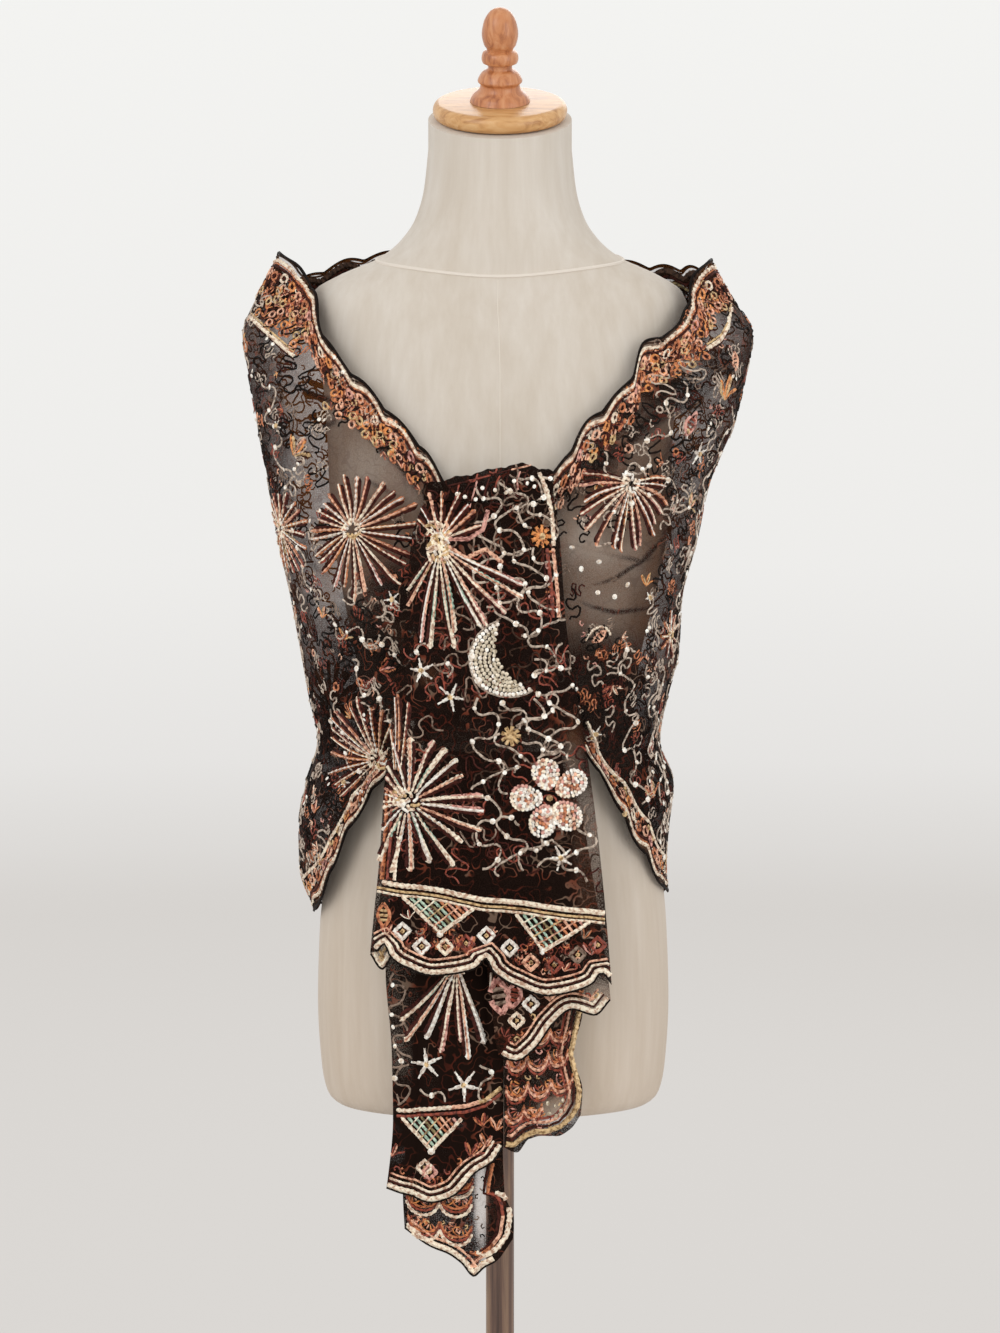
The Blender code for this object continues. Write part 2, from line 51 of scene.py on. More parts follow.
TORSO_COLUMNS = ("z", "half_width", "front", "back", "power", "lean")
TORSO = (
    (0.663, 0.126, 0.084, 0.092, 2.2, -0.006),
    (0.666, 0.139, 0.097, 0.105, 2.2, -0.006),
    (0.675, 0.147, 0.105, 0.113, 2.2, -0.006),
    (0.700, 0.152, 0.110, 0.118, 2.2, -0.006),
    (0.755, 0.155, 0.112, 0.122, 2.2, -0.006),
    (0.820, 0.153, 0.111, 0.122, 2.2, -0.006),
    (0.880, 0.146, 0.106, 0.114, 2.2, -0.005),
    (0.940, 0.132, 0.100, 0.101, 2.2, -0.004),
    (1.000, 0.121, 0.098, 0.088, 2.2, -0.003),
    (1.050, 0.124, 0.106, 0.084, 2.3, -0.002),
    (1.100, 0.134, 0.119, 0.086, 2.4, -0.001),
    (1.150, 0.144, 0.128, 0.091, 2.4, 0.000),
    (1.200, 0.149, 0.124, 0.096, 2.4, 0.000),
    (1.250, 0.151, 0.113, 0.099, 2.4, 0.000),
    (1.300, 0.155, 0.101, 0.098, 2.4, 0.000),
    (1.340, 0.162, 0.090, 0.093, 2.3, -0.001),
    (1.362, 0.166, 0.082, 0.086, 2.2, -0.002),
    (1.378, 0.160, 0.076, 0.080, 2.1, -0.002),
    (1.392, 0.138, 0.073, 0.077, 2.0, -0.001),
    (1.406, 0.106, 0.072, 0.076, 2.0, 0.000),
    (1.420, 0.088, 0.070, 0.073, 2.0, 0.000),
    (1.440, 0.074, 0.066, 0.068, 2.0, 0.000),
    (1.465, 0.0665, 0.0635, 0.0640, 2.0, 0.000),
    (1.500, 0.0625, 0.0625, 0.0625, 2.0, 0.000),
)
NECK_TILT = radians(20)
NECK_TOP_Z = 1.527
CAP_RADIUS = 0.0585
CAP_THICK = 0.015
FINIAL = (
    (0.082, 0.0012),
    (0.081, 0.0050),
    (0.077, 0.0100),
    (0.069, 0.0142),
    (0.059, 0.0158),
    (0.050, 0.0140),
    (0.045, 0.0112),
    (0.043, 0.0148),
    (0.038, 0.0160),
    (0.034, 0.0150),
    (0.032, 0.0105),
    (0.029, 0.0105),
    (0.026, 0.0150),
    (0.022, 0.0180),
    (0.018, 0.0195),
    (0.015, 0.0170),
    (0.011, 0.0180),
    (0.005, 0.0240),
    (0.000, 0.0262),
)
# How far the sheets stay off the form, and each other at the centre back
SHEET_GAP = 0.0032
SEAM_GAP = 0.0006
# The height at which the girth that the back's scallops share is taken
GIRTH_Z = 1.3
CLOTH_POWER = 2.2
CLOTH_COLUMNS = ("z", "left", "right", "front", "back")
CLOTH_BODY = (
    (0.810, 0.166, 0.150, 0.120, 0.128),
    (0.832, 0.164, 0.149, 0.119, 0.130),
    (0.871, 0.176, 0.146, 0.118, 0.128),
    (0.908, 0.177, 0.148, 0.116, 0.124),
    (0.946, 0.170, 0.152, 0.114, 0.118),
    (0.985, 0.160, 0.140, 0.121, 0.112),
    (1.021, 0.167, 0.146, 0.131, 0.108),
    (1.060, 0.174, 0.156, 0.136, 0.106),
    (1.110, 0.183, 0.159, 0.139, 0.107),
    (1.160, 0.194, 0.172, 0.140, 0.109),
    (1.210, 0.203, 0.183, 0.134, 0.111),
    (1.260, 0.212, 0.204, 0.122, 0.113),
    (1.300, 0.219, 0.214, 0.108, 0.112),
    (1.340, 0.225, 0.221, 0.088, 0.108),
    (1.373, 0.212, 0.202, 0.066, 0.101),
    (1.400, 0.198, 0.187, 0.052, 0.094),
    (1.430, 0.184, 0.174, 0.045, 0.088),
)
# x and z along each long edge of a wrap, from the side to the middle
LEFT_TOP = (
    (-0.192, 1.412),
    (-0.171, 1.396),
    (-0.158, 1.378),
    (-0.155, 1.352),
    (-0.139, 1.322),
    (-0.115, 1.297),
    (-0.086, 1.266),
    (-0.066, 1.245),
    (-0.042, 1.210),
    (-0.001, 1.190),
)
LEFT_LOW = (
    (-0.164, 0.832),
    (-0.157, 0.845),
    (-0.146, 0.871),
    (-0.136, 0.899),
    (-0.119, 0.930),
    (-0.104, 0.953),
    (-0.087, 0.972),
    (-0.050, 0.988),
    (-0.001, 0.998),
)
RIGHT_TOP = (
    (0.183, 1.406),
    (0.165, 1.388),
    (0.159, 1.366),
    (0.154, 1.350),
    (0.122, 1.331),
    (0.112, 1.303),
    (0.094, 1.284),
    (0.073, 1.264),
    (0.054, 1.234),
    (0.042, 1.219),
    (0.001, 1.190),
)
RIGHT_LOW = (
    (0.149, 0.849),
    (0.138, 0.863),
    (0.127, 0.884),
    (0.113, 0.908),
    (0.095, 0.945),
    (0.082, 0.968),
    (0.070, 0.984),
    (0.040, 0.993),
    (0.001, 0.998),
)
# The back's upper edge: degrees round from the left side, and height
BACK_TOP = (
    (0.0, 1.412),
    (14.0, 1.402),
    (28.0, 1.392),
    (48.0, 1.410),
    (66.0, 1.419),
    (90.0, 1.424),
    (114.0, 1.414),
    (140.0, 1.404),
    (160.0, 1.402),
    (180.0, 1.406),
)
BACK_LOW_Z = (0.832, 0.822, 0.849)
# The large folds: share of the cloth's width at the side and in the gather, width, depth, and start
LEFT_FOLDS = (
    (0.10, 0.14, 0.070, 0.006, 0.15),
    (0.24, 0.34, 0.060, -0.005, 0.30),
    (0.45, 0.52, 0.075, 0.007, 0.10),
    (0.60, 0.70, 0.065, -0.006, 0.00),
    (0.74, 0.86, 0.075, 0.007, 0.10),
    (0.88, 0.97, 0.060, -0.004, 0.20),
)
RIGHT_FOLDS = (
    (0.08, 0.16, 0.065, -0.004, 0.30),
    (0.20, 0.30, 0.070, 0.006, 0.15),
    (0.38, 0.46, 0.060, -0.006, 0.05),
    (0.50, 0.60, 0.075, 0.007, 0.00),
    (0.66, 0.74, 0.060, -0.006, 0.20),
    (0.80, 0.88, 0.080, 0.006, 0.05),
)
BACK_FOLDS = (
    (0.06, 0.30, 0.060, 0.004),
    (0.34, 0.12, 0.055, -0.004),
    (0.42, 0.52, 0.070, 0.005),
    (0.70, 0.60, 0.060, -0.004),
    (0.80, 0.86, 0.070, 0.005),
)
# Creases seen from the front: width, depth, how dark the doubled cloth is, and the line in x and z
WRAP_CREASES = {
    "left": (
        (0.006, 0.0035, 0.9, ((-0.216, 1.345), (-0.212, 1.3), (-0.206, 1.25), (-0.196, 1.2), (-0.184, 1.15))),
        (0.0042, 0.004, 0.85, (
            (-0.205, 1.308), (-0.167, 1.292), (-0.139, 1.28), (-0.104, 1.245), (-0.05, 1.198)
        )),
        (0.0036, 0.003, 0.9, ((-0.172, 1.27), (-0.155, 1.257), (-0.14, 1.262), (-0.131, 1.276))),
        (0.0042, 0.0045, 0.9, (
            (-0.19, 1.178), (-0.16, 1.146), (-0.134, 1.118), (-0.11, 1.106), (-0.08, 1.108)
        )),
        (0.0036, 0.0035, 0.8, ((-0.168, 1.104), (-0.143, 1.074), (-0.109, 1.044), (-0.08, 1.04))),
        (0.004, 0.0035, 0.95, ((-0.16, 1.03), (-0.126, 1.022), (-0.084, 1.03))),
        (0.0034, 0.003, 0.85, ((-0.11, 1.268), (-0.084, 1.236), (-0.063, 1.206), (-0.044, 1.178))),
        (0.0034, -0.0028, 0.8, ((-0.128, 1.222), (-0.098, 1.206), (-0.067, 1.189), (-0.05, 1.17))),
        (0.0034, 0.003, 0.85, ((-0.108, 1.132), (-0.08, 1.136), (-0.052, 1.15))),
        (0.004, 0.003, 0.95, ((-0.16, 0.962), (-0.14, 0.94), (-0.116, 0.95), (-0.1, 0.965))),
        (0.0044, -0.003, 0.75, ((-0.196, 1.24), (-0.18, 1.2), (-0.176, 1.15), (-0.164, 1.11))),
        (0.004, 0.0028, 0.8, ((-0.205, 1.35), (-0.186, 1.31), (-0.186, 1.26), (-0.19, 1.21))),
    ),
    "right": (
        (0.0125, 0.005, 0.96, (
            (0.208, 1.322), (0.175, 1.302), (0.14, 1.279), (0.098, 1.243), (0.054, 1.212)
        )),
        (0.0046, 0.0045, 0.85, (
            (0.212, 1.341), (0.178, 1.314), (0.134, 1.282), (0.092, 1.261), (0.05, 1.223)
        )),
        (0.004, 0.004, 0.92, ((0.208, 1.314), (0.168, 1.286), (0.126, 1.265), (0.084, 1.24), (0.05, 1.21))),
        (0.0034, 0.003, 0.88, ((0.112, 1.256), (0.14, 1.268), (0.166, 1.277), (0.204, 1.282))),
        (0.003, 0.0025, 0.8, ((0.144, 1.228), (0.16, 1.24), (0.187, 1.265), (0.198, 1.275))),
        (0.0032, 0.004, 0.93, (
            (0.052, 1.166), (0.069, 1.158), (0.092, 1.152), (0.115, 1.146), (0.144, 1.152)
        )),
        (0.0032, 0.0038, 0.93, (
            (0.062, 1.122), (0.095, 1.131), (0.115, 1.145), (0.144, 1.17), (0.165, 1.19)
        )),
        (0.0032, 0.0036, 0.9, (
            (0.052, 1.118), (0.077, 1.108), (0.095, 1.103), (0.124, 1.105), (0.156, 1.116)
        )),
        (0.0036, 0.0034, 0.9, ((0.08, 1.084), (0.098, 1.052), (0.112, 1.02), (0.126, 0.99))),
        (0.0034, -0.003, 0.85, ((0.064, 1.084), (0.082, 1.04), (0.106, 0.984))),
        (0.0034, 0.003, 0.9, ((0.1, 1.092), (0.122, 1.06), (0.134, 1.02), (0.132, 0.985))),
        (0.0034, -0.0026, 0.8, ((0.15, 1.18), (0.152, 1.14), (0.146, 1.1), (0.15, 1.05))),
        (0.0034, 0.0028, 0.85, ((0.1, 1.25), (0.076, 1.226), (0.05, 1.198))),
    ),
}
BACK_CREASES = (
    (0.006, 0.004, 0.7, ((-0.19, 1.33), (-0.11, 1.27), (-0.02, 1.25), (0.08, 1.28))),
    (0.007, 0.0045, 0.7, ((-0.18, 1.2), (-0.08, 1.17), (0.04, 1.185), (0.16, 1.24))),
    (0.006, 0.0038, 0.7, ((-0.16, 1.06), (-0.04, 1.09), (0.06, 1.08), (0.14, 1.11))),
    (0.0064, 0.004, 0.7, ((-0.15, 0.96), (-0.06, 0.985), (0.05, 0.97), (0.14, 1.01))),
    (0.0056, -0.003, 0.6, ((-0.06, 1.37), (0.02, 1.33), (0.12, 1.35), (0.19, 1.33))),
    (0.0056, 0.0032, 0.65, ((-0.14, 0.89), (-0.02, 0.905), (0.08, 0.89), (0.14, 0.9))),
)

# Hanging stretches: height, left edge, right edge, how far forward, and how far the edges turn back
HANG_COLUMNS = ("z", "left", "right", "forward", "edge_back")
PANEL = (
    (1.196, -0.064, 0.045, 0.162, 0.015),
    (1.165, -0.074, 0.050, 0.164, 0.020),
    (1.098, -0.079, 0.055, 0.163, 0.023),
    (1.031, -0.088, 0.065, 0.159, 0.020),
    (0.972, -0.096, 0.075, 0.155, 0.010),
    (0.900, -0.101, 0.084, 0.154, 0.004),
    (0.850, -0.106, 0.089, 0.153, 0.003),
    (0.790, -0.112, 0.094, 0.152, 0.002),
)
LEAF = (
    (0.930, -0.092, 0.070, 0.1425, 0.002),
    (0.850, -0.103, 0.083, 0.1425, 0.002),
    (0.790, -0.112, 0.092, 0.1425, 0.002),
    (0.720, -0.112, 0.098, 0.1425, 0.002),
)
TAIL = (
    (0.986, -0.070, 0.0030, 0.131, 0.002),
    (0.900, -0.088, 0.0030, 0.130, 0.002),
    (0.800, -0.097, 0.0030, 0.129, 0.002),
    (0.731, -0.092, 0.0030, 0.129, 0.002),
    (0.673, -0.091, 0.0030, 0.129, 0.002),
    (0.600, -0.098, 0.0030, 0.128, 0.002),
)
RUFFLE = (
    (0.986, 0.0035, 0.052, 0.131, 0.000),
    (0.850, 0.0035, 0.066, 0.130, 0.000),
    (0.765, 0.0035, 0.070, 0.130, 0.000),
    (0.728, 0.0035, 0.062, 0.130, 0.000),
    (0.697, 0.0035, 0.070, 0.130, 0.000),
    (0.655, 0.0035, 0.066, 0.130, 0.000),
)
TIP = (
    (0.655, -0.080, 0.002, 0.1165, 0.000),
    (0.606, -0.083, 0.004, 0.1165, 0.000),
    (0.582, -0.082, 0.012, 0.1165, 0.000),
    (0.530, -0.078, 0.006, 0.1165, 0.000),
)
# Hems: share of the width, and height
PANEL_HEM = (
    (0.000, 0.8180),
    (0.035, 0.8190),
    (0.055, 0.8262),
    (0.080, 0.8165),
    (0.160, 0.8050),
    (0.270, 0.7975),
    (0.380, 0.8010),
    (0.455, 0.8065),
    (0.482, 0.8140),
    (0.510, 0.8030),
    (0.600, 0.7900),
    (0.727, 0.7815),
    (0.850, 0.7860),
    (0.930, 0.7925),
    (0.961, 0.8005),
    (1.000, 0.7905),
)
LEAF_HEM = (
    (0.00, 0.815),
    (0.06, 0.802),
    (0.12, 0.822),
    (0.48, 0.835),
    (0.53, 0.730),
    (0.60, 0.724),
    (0.68, 0.735),
    (0.76, 0.756),
    (0.84, 0.768),
    (0.93, 0.763),
    (1.00, 0.776),
)
TAIL_HEM = (
    (0.00, 0.612),
    (0.18, 0.607),
    (0.38, 0.599),
    (0.58, 0.606),
    (0.76, 0.626),
    (0.90, 0.634),
    (1.00, 0.648),
)
RUFFLE_HEM = (
    (0.00, 0.648),
    (0.18, 0.643),
    (0.34, 0.655),
    (0.52, 0.659),
    (0.74, 0.657),
    (0.90, 0.664),
    (1.00, 0.676),
)
TIP_HEM = (
    (0.00, 0.575),
    (0.20, 0.561),
    (0.40, 0.553),
    (0.52, 0.545),
    (0.66, 0.533),
    (0.76, 0.541),
    (0.88, 0.548),
    (1.00, 0.566),
)
# Pleats: share of the width at the top and at the hem, width as a share, and depth
PANEL_PLEATS = (
    (0.12, 0.10, 0.070, 0.0050),
    (0.30, 0.28, 0.070, -0.0040),
    (0.46, 0.46, 0.070, 0.0050),
    (0.62, 0.64, 0.060, -0.0040),
    (0.80, 0.83, 0.080, 0.0050),
    (0.05, 0.02, 0.020, -0.0015),
    (0.20, 0.17, 0.022, -0.0020),
    (0.38, 0.36, 0.018, 0.0020),
    (0.54, 0.56, 0.020, -0.0020),
    (0.71, 0.74, 0.016, 0.0018),
    (0.90, 0.93, 0.018, -0.0018),
)
LEAF_PLEATS = ((0.20, 0.20, 0.10, 0.001), (0.70, 0.74, 0.10, -0.0015), (0.85, 0.88, 0.03, 0.0012))
TAIL_PLEATS = (
    (0.14, 0.12, 0.080, 0.004),
    (0.42, 0.36, 0.100, -0.003),
    (0.70, 0.66, 0.090, 0.004),
    (0.26, 0.24, 0.025, -0.0015),
    (0.55, 0.52, 0.025, 0.0015),
    (0.88, 0.86, 0.030, -0.0015),
)
RUFFLE_PLEATS = (
    (0.22, 0.24, 0.11, -0.005),
    (0.50, 0.52, 0.11, 0.005),
    (0.80, 0.80, 0.11, -0.006),
    (0.36, 0.38, 0.03, 0.0015),
    (0.66, 0.66, 0.03, -0.0015),
)
TIP_PLEATS = (
    (0.25, 0.30, 0.10, 0.002),
    (0.60, 0.58, 0.09, -0.002),
    (0.85, 0.85, 0.08, 0.002),
)
FOLD_BACK_Y = -0.1475
FOLD_FRONT_Y = -0.160
FOLD_BACK_Z = 1.180
FOLD_LEFT = -0.062
FOLD_RIGHT = 0.043
FOLD_CREST = (1.211, 1.217, 1.223, 1.228, 1.222)
CLOTH_THICK = 0.0012
SCALLOP_PITCH = 0.042
SCALLOP_DEPTH = 0.005
PANEL_COVER = 0.93


def smooth_between(keys, values, at):
    """A smooth curve through the values, without overshoot, read at the given keys."""
    keys = np.asarray(keys, float)
    values = np.asarray(values, float)
    at = np.clip(np.asarray(at, float), keys[0], keys[-1])
    steps = np.diff(keys)
    slopes = np.diff(values) / steps
    tangents = np.zeros(len(keys))
    tangents[0] = slopes[0]
    tangents[-1] = slopes[-1]
    for i in range(1, len(keys) - 1):
        if slopes[i - 1] * slopes[i] > 0:
            before = 2 * steps[i] + steps[i - 1]
            after = steps[i] + 2 * steps[i - 1]
            tangents[i] = (before + after) / (before / slopes[i - 1] + after / slopes[i])
    left = np.clip(np.searchsorted(keys, at, side="right") - 1, 0, len(steps) - 1)
    t = (at - keys[left]) / steps[left]
    return (
        values[left] * (1 + 2 * t) * (1 - t) ** 2
        + tangents[left] * steps[left] * t * (1 - t) ** 2
        + values[left + 1] * t**2 * (3 - 2 * t)
        + tangents[left + 1] * steps[left] * t**2 * (t - 1)
    )


def read_table(table, columns, name, at):
    """A column of a table against its first column, whichever way the table runs."""
    rows = np.array(sorted(table), float)
    return smooth_between(rows[:, 0], rows[:, columns.index(name)], at)


def bump(distance, wide):
    """A soft ridge: 1 on its line, and almost nothing two widths away."""
    return np.exp(-((distance / wide) ** 2))


def torso_section(z):
    """The torso's half width, front, back, power and lean at a height."""
    return [read_table(TORSO, TORSO_COLUMNS, name, z) for name in TORSO_COLUMNS[1:]]


def clear_of_form(x, y, z, gap):
    """Moves points straight out from the form's axis until they are a gap away from the torso."""
    half_width, front, back, power, lean = torso_section(z)
    deep = np.where(y < 0, front, back)
    fill = (np.abs((x - lean) / half_width) ** power + np.abs(y / deep) ** power) ** (1 / power)
    reach = np.hypot(x - lean, y)
    grow = np.maximum(1.0, 1 / fill + gap / reach)
    return lean + (x - lean) * grow, y * grow


def on_cloth_body(turn, z, side, stand_out):
    """Points of the cloth's section at these turns, from 0 at the side to a quarter turn in the middle."""
    sign = -1.0 if side == "left" else 1.0
    front = -read_table(CLOTH_BODY, CLOTH_COLUMNS, "front", z)
    back = read_table(CLOTH_BODY, CLOTH_COLUMNS, "back", z)
    depth = np.where(turn >= 0, front, back)
    half = read_table(CLOTH_BODY, CLOTH_COLUMNS, side, z)
    x = sign * (half * np.abs(np.cos(turn)) ** (2 / CLOTH_POWER) + stand_out * np.cos(turn))
    y = depth * np.abs(np.sin(turn)) ** (2 / CLOTH_POWER) - stand_out * np.sin(turn)
    return x, y


def turn_of(x, z, side):
    """The turn at which the cloth's section reaches x."""
    share = np.minimum(np.abs(x) / read_table(CLOTH_BODY, CLOTH_COLUMNS, side, z), 1.0)
    return np.arccos(share ** (CLOTH_POWER / 2))


def edge_points(edge, shares):
    """Where these shares of an edge's length lie, as x and z, and the length."""
    x, z = np.array(edge).T
    run = np.concatenate([[0.0], np.cumsum(np.hypot(np.diff(x), np.diff(z)))])
    return smooth_between(run / run[-1], x, shares), smooth_between(run / run[-1], z, shares), run[-1]


def scallop(run):
    """How far the scalloped edge lies inside its outermost line, along the edge."""
    return SCALLOP_DEPTH * (1 - np.abs(np.sin(pi * run / SCALLOP_PITCH)))


def away_from(x, z, line):
    """Each point's distance from a line of points, and how far along the line it lies."""
    line = np.array(line)
    nearest = np.full(x.shape, 9.0)
    along = np.zeros(x.shape)
    for k, (a, b) in enumerate(zip(line[:-1], line[1:])):
        run = b - a
        t = np.clip(((x - a[0]) * run[0] + (z - a[1]) * run[1]) / (run @ run), 0, 1)
        distance = np.hypot(x - a[0] - t * run[0], z - a[1] - t * run[1])
        along = np.where(distance < nearest, (k + t) / (len(line) - 1), along)
        nearest = np.minimum(distance, nearest)
    return nearest, along


def crease_field(creases, x, z):
    """The relief of the creases, and how much each darkens the cloth by doubling it."""
    rise = np.zeros(x.shape)
    doubled = np.zeros(x.shape)
    for wide, depth, dark, line in creases:
        distance, along = away_from(x, z, line)
        strength = np.sin(pi * np.clip(along, 0.06, 0.94)) ** 0.5
        rise += depth * strength * bump(distance, wide * 1.7)
        doubled = np.maximum(doubled, dark * strength * bump(distance, wide))
    return rise, doubled


def patched(grid, cover, patches):
    """The cloth's density with the patches laid over it."""
    for x, z, half_wide, half_tall, level in patches:
        share = ((grid[..., 0] - x) / half_wide) ** 2 + ((grid[..., 2] - z) / half_tall) ** 2
        cover = cover + (level - cover) * np.exp(-(share**2))
    return cover


# How dense the plain net of each wrap is
SHEER = {"left": 0.32, "right": 0.39}
WRAPS = {
    "left": (LEFT_TOP, LEFT_LOW, LEFT_FOLDS),
    "right": (RIGHT_TOP, RIGHT_LOW, RIGHT_FOLDS),
}


def wrap_grid(side, across, down):
    """A front wrap: points, and how dense the cloth is at each."""
    top, low, folds = WRAPS[side]
    u = np.linspace(0, 1, across + 1) ** 0.92
    v = np.linspace(0, 1, down + 1)[:, None]
    top_x, top_z, top_run = edge_points(top, u)
    low_x, low_z, low_run = edge_points(low, u)
    fade = np.minimum(1.0, 4 * (1 - u)) * np.minimum(1.0, 12 * u)
    upper = top_z - scallop(u * top_run) * fade
    lower = low_z + scallop(u * low_run) * fade
    z = upper + (lower - upper) * v
    turn_top, turn_low = turn_of(top_x, top_z, side), turn_of(low_x, low_z, side)
    turn_top[0] = turn_low[0] = 0.0
    turn = turn_top + (turn_low - turn_top) * v
    rise = np.zeros_like(z)
    for outer, inner, wide, depth, start in folds:
        strength = np.clip((u - start) / (1 - start), 0, 1) ** 0.7
        rise += depth * strength * bump(v - (outer + (inner - outer) * u), wide)
    gathered = np.clip((u - GATHER_START) / (1 - GATHER_START), 0, 1)
    for k, (share, wide, depth) in enumerate(GATHER):
        rise += depth * gathered * bump(v - share - 0.02 * np.sin(9 * u + k), wide)
    x, y = on_cloth_body(turn, z, side, rise)
    fine, doubled = crease_field(WRAP_CREASES[side], x, z)
    x, y = on_cloth_body(turn, z, side, rise + fine * np.minimum(1.0, 8 * u))
    x, y = clear_of_form(x, y, z, SHEET_GAP)
    x[:, -1] = top_x[-1]
    cover = SHEER[side] + 0.36 * u**4 + 0.40 * bump(turn, 0.62) + 0.12 * bump(turn, 0.22)
    return np.dstack([x, y, z]), np.maximum(cover, doubled)


# The small pleats where a wrap is gathered: share of the cloth's width, width, and depth
GATHER_START = 0.62
GATHER = (
    (0.05, 0.016, 0.0016),
    (0.17, 0.018, -0.0018),
    (0.27, 0.014, 0.0018),
    (0.39, 0.018, -0.0018),
    (0.49, 0.015, 0.0018),
    (0.60, 0.018, -0.0020),
    (0.73, 0.016, 0.0018),
    (0.83, 0.018, -0.0018),
    (0.94, 0.016, 0.0016),
)


def back_grid(side, across, down):
    """One half of the back: points, and how dense the cloth is at each."""
    ends = (0, 90) if side == "left" else (90, 180)
    around = np.linspace(*ends, across + 1)
    v = np.linspace(0, 1, down + 1)[:, None]
    top_z = smooth_between(*np.array(BACK_TOP).T, around)
    low_z = smooth_between((0, 90, 180), BACK_LOW_Z, around)
    back, left = (float(read_table(CLOTH_BODY, CLOTH_COLUMNS, name, GIRTH_Z)) for name in ("back", "left"))
    girth = pi * back + 2 * (left - back)
    turn = np.radians(around if side == "left" else 180 - around)
    inset = scallop(around / 180 * girth) * np.minimum(1.0, turn * 4)
    z = (top_z - inset) * (1 - v) + (low_z + inset) * v
    share = around / 180
    rise = np.zeros_like(z)
    for start, end, wide, depth in BACK_FOLDS:
        rise += depth * bump(v - (start + (end - start) * share), wide)
    fade = np.sqrt(np.maximum(np.sin(pi * share), 0))
    x, y = on_cloth_body(-turn, z, side, rise * fade)
    fine, doubled = crease_field(BACK_CREASES, x, z)
    x, y = on_cloth_body(-turn, z, side, (rise + fine) * fade)
    x, y = clear_of_form(x, y, z, SHEET_GAP)
    x[:, around == 90] = -SEAM_GAP / 2 if side == "left" else SEAM_GAP / 2
    return np.dstack([x, y, z]), np.maximum(0.52 + 0.25 * bump(turn, 0.40), doubled * fade)


def hang_grid(stretch, hem, pleats, across, down, cover):
    """A hanging stretch: points, and how dense the cloth is at each."""
    u = np.linspace(0, 1, across + 1)
    v = np.linspace(0, 1, down + 1)[:, None]
    top = stretch[0][0]
    z = top + (smooth_between(*np.array(hem).T, u) - top) * v
    section = [read_table(stretch, HANG_COLUMNS, name, z) for name in HANG_COLUMNS[1:]]
    left, right, forward, edge_back = section
    x = left + (right - left) * u
    y = -forward + edge_back * np.abs(2 * u - 1) ** 3
    for start, end, wide, depth in pleats:
        y -= depth * bump(u - (start + (end - start) * v), wide) * np.minimum(1.0, 0.3 + 1.4 * v)
    return np.dstack([x, y, z]), np.full(z.shape, cover)


def fold_grid(across, down):
    """The roll at the top of the panel: points, and how dense the cloth is at each."""
    u = np.linspace(0, 1, across + 1)
    v = np.linspace(0, 1, down + 1)[:, None]
    angle = pi * v
    front_z = PANEL[0][0] + CLOTH_THICK
    top = hang_grid(PANEL, PANEL_HEM, PANEL_PLEATS, across, 1, PANEL_COVER)[0][0]
    crest = smooth_between(np.linspace(0, 1, len(FOLD_CREST)), FOLD_CREST, u)
    foot = FOLD_BACK_Z + (front_z - FOLD_BACK_Z) * v
    x = FOLD_LEFT + (FOLD_RIGHT - FOLD_LEFT) * u + 0 * v
    x = x + (top[:, 0] - x) * v
    middle, half = (FOLD_BACK_Y + FOLD_FRONT_Y) / 2, (FOLD_BACK_Y - FOLD_FRONT_Y) / 2
    y = middle + half * np.cos(angle) + 0 * u
    y = y + (top[:, 1] - y) * v**2
    z = foot + (crest - foot) * np.sin(angle)
    for start, end, wide, depth in FOLD_GATHERS:
        crease = depth * bump(u - (start + (end - start) * v), wide) * np.sin(angle) ** 0.5
        y = y - crease
        z = z + crease * 0.6
    return np.dstack([x, y, z]), np.full(z.shape, PANEL_COVER)


# The gathers over the roll: share of its width at the back and in front, width, and depth
FOLD_GATHERS = (
    (0.06, 0.04, 0.030, 0.0020),
    (0.16, 0.12, 0.024, -0.0022),
    (0.27, 0.22, 0.030, 0.0024),
    (0.38, 0.35, 0.022, -0.0024),
    (0.50, 0.48, 0.028, 0.0022),
    (0.62, 0.64, 0.022, -0.0024),
    (0.74, 0.78, 0.030, 0.0024),
    (0.86, 0.92, 0.022, -0.0026),
    (0.96, 0.98, 0.020, 0.0020),
)


# ---------------------------------------------------------------------------------------------------------
# Materials
# ---------------------------------------------------------------------------------------------------------


def srgb(code):
    """Linear colour of a six-figure sRGB code."""
    parts = [int(code[i : i + 2], 16) / 255 for i in (0, 2, 4)]
    return tuple(((c + 0.055) / 1.055) ** 2.4 if c > 0.04 else c / 12.92 for c in parts) + (1.0,)


def brighter(code, times):
    """The colour of a code made brighter, up to white."""
    return tuple(min(1.0, times * part) for part in srgb(code)[:3]) + (1.0,)


def new_material(name, **finish):
    """A material, its node tree and its shader, with the shader's plain inputs set."""
    made = bpy.data.materials.new(name)
    made.use_nodes = True
    shader = made.node_tree.nodes["Principled BSDF"]
    for key, value in finish.items():
        shader.inputs[key.replace("_", " ")].default_value = value
    return made, made.node_tree, shader


def add_node(tree, kind, settings=None, **inputs):
    node = tree.nodes.new(kind)
    for key, value in (settings or {}).items():
        setattr(node, key, value)
    for key, value in inputs.items():
        node.inputs[key.replace("_", " ")].default_value = value
    return node


def object_coordinates(tree, scale=(1, 1, 1)):
    place = add_node(tree, "ShaderNodeTexCoord")
    mapping = add_node(tree, "ShaderNodeMapping", Scale=scale)
    tree.links.new(place.outputs["Object"], mapping.inputs["Vector"])
    return mapping.outputs["Vector"]


def noise_at(tree, where, **inputs):
    """A noise texture's value at these coordinates."""
    node = add_node(tree, "ShaderNodeTexNoise", **inputs)
    tree.links.new(where, node.inputs["Vector"])
    return node.outputs["Fac"]


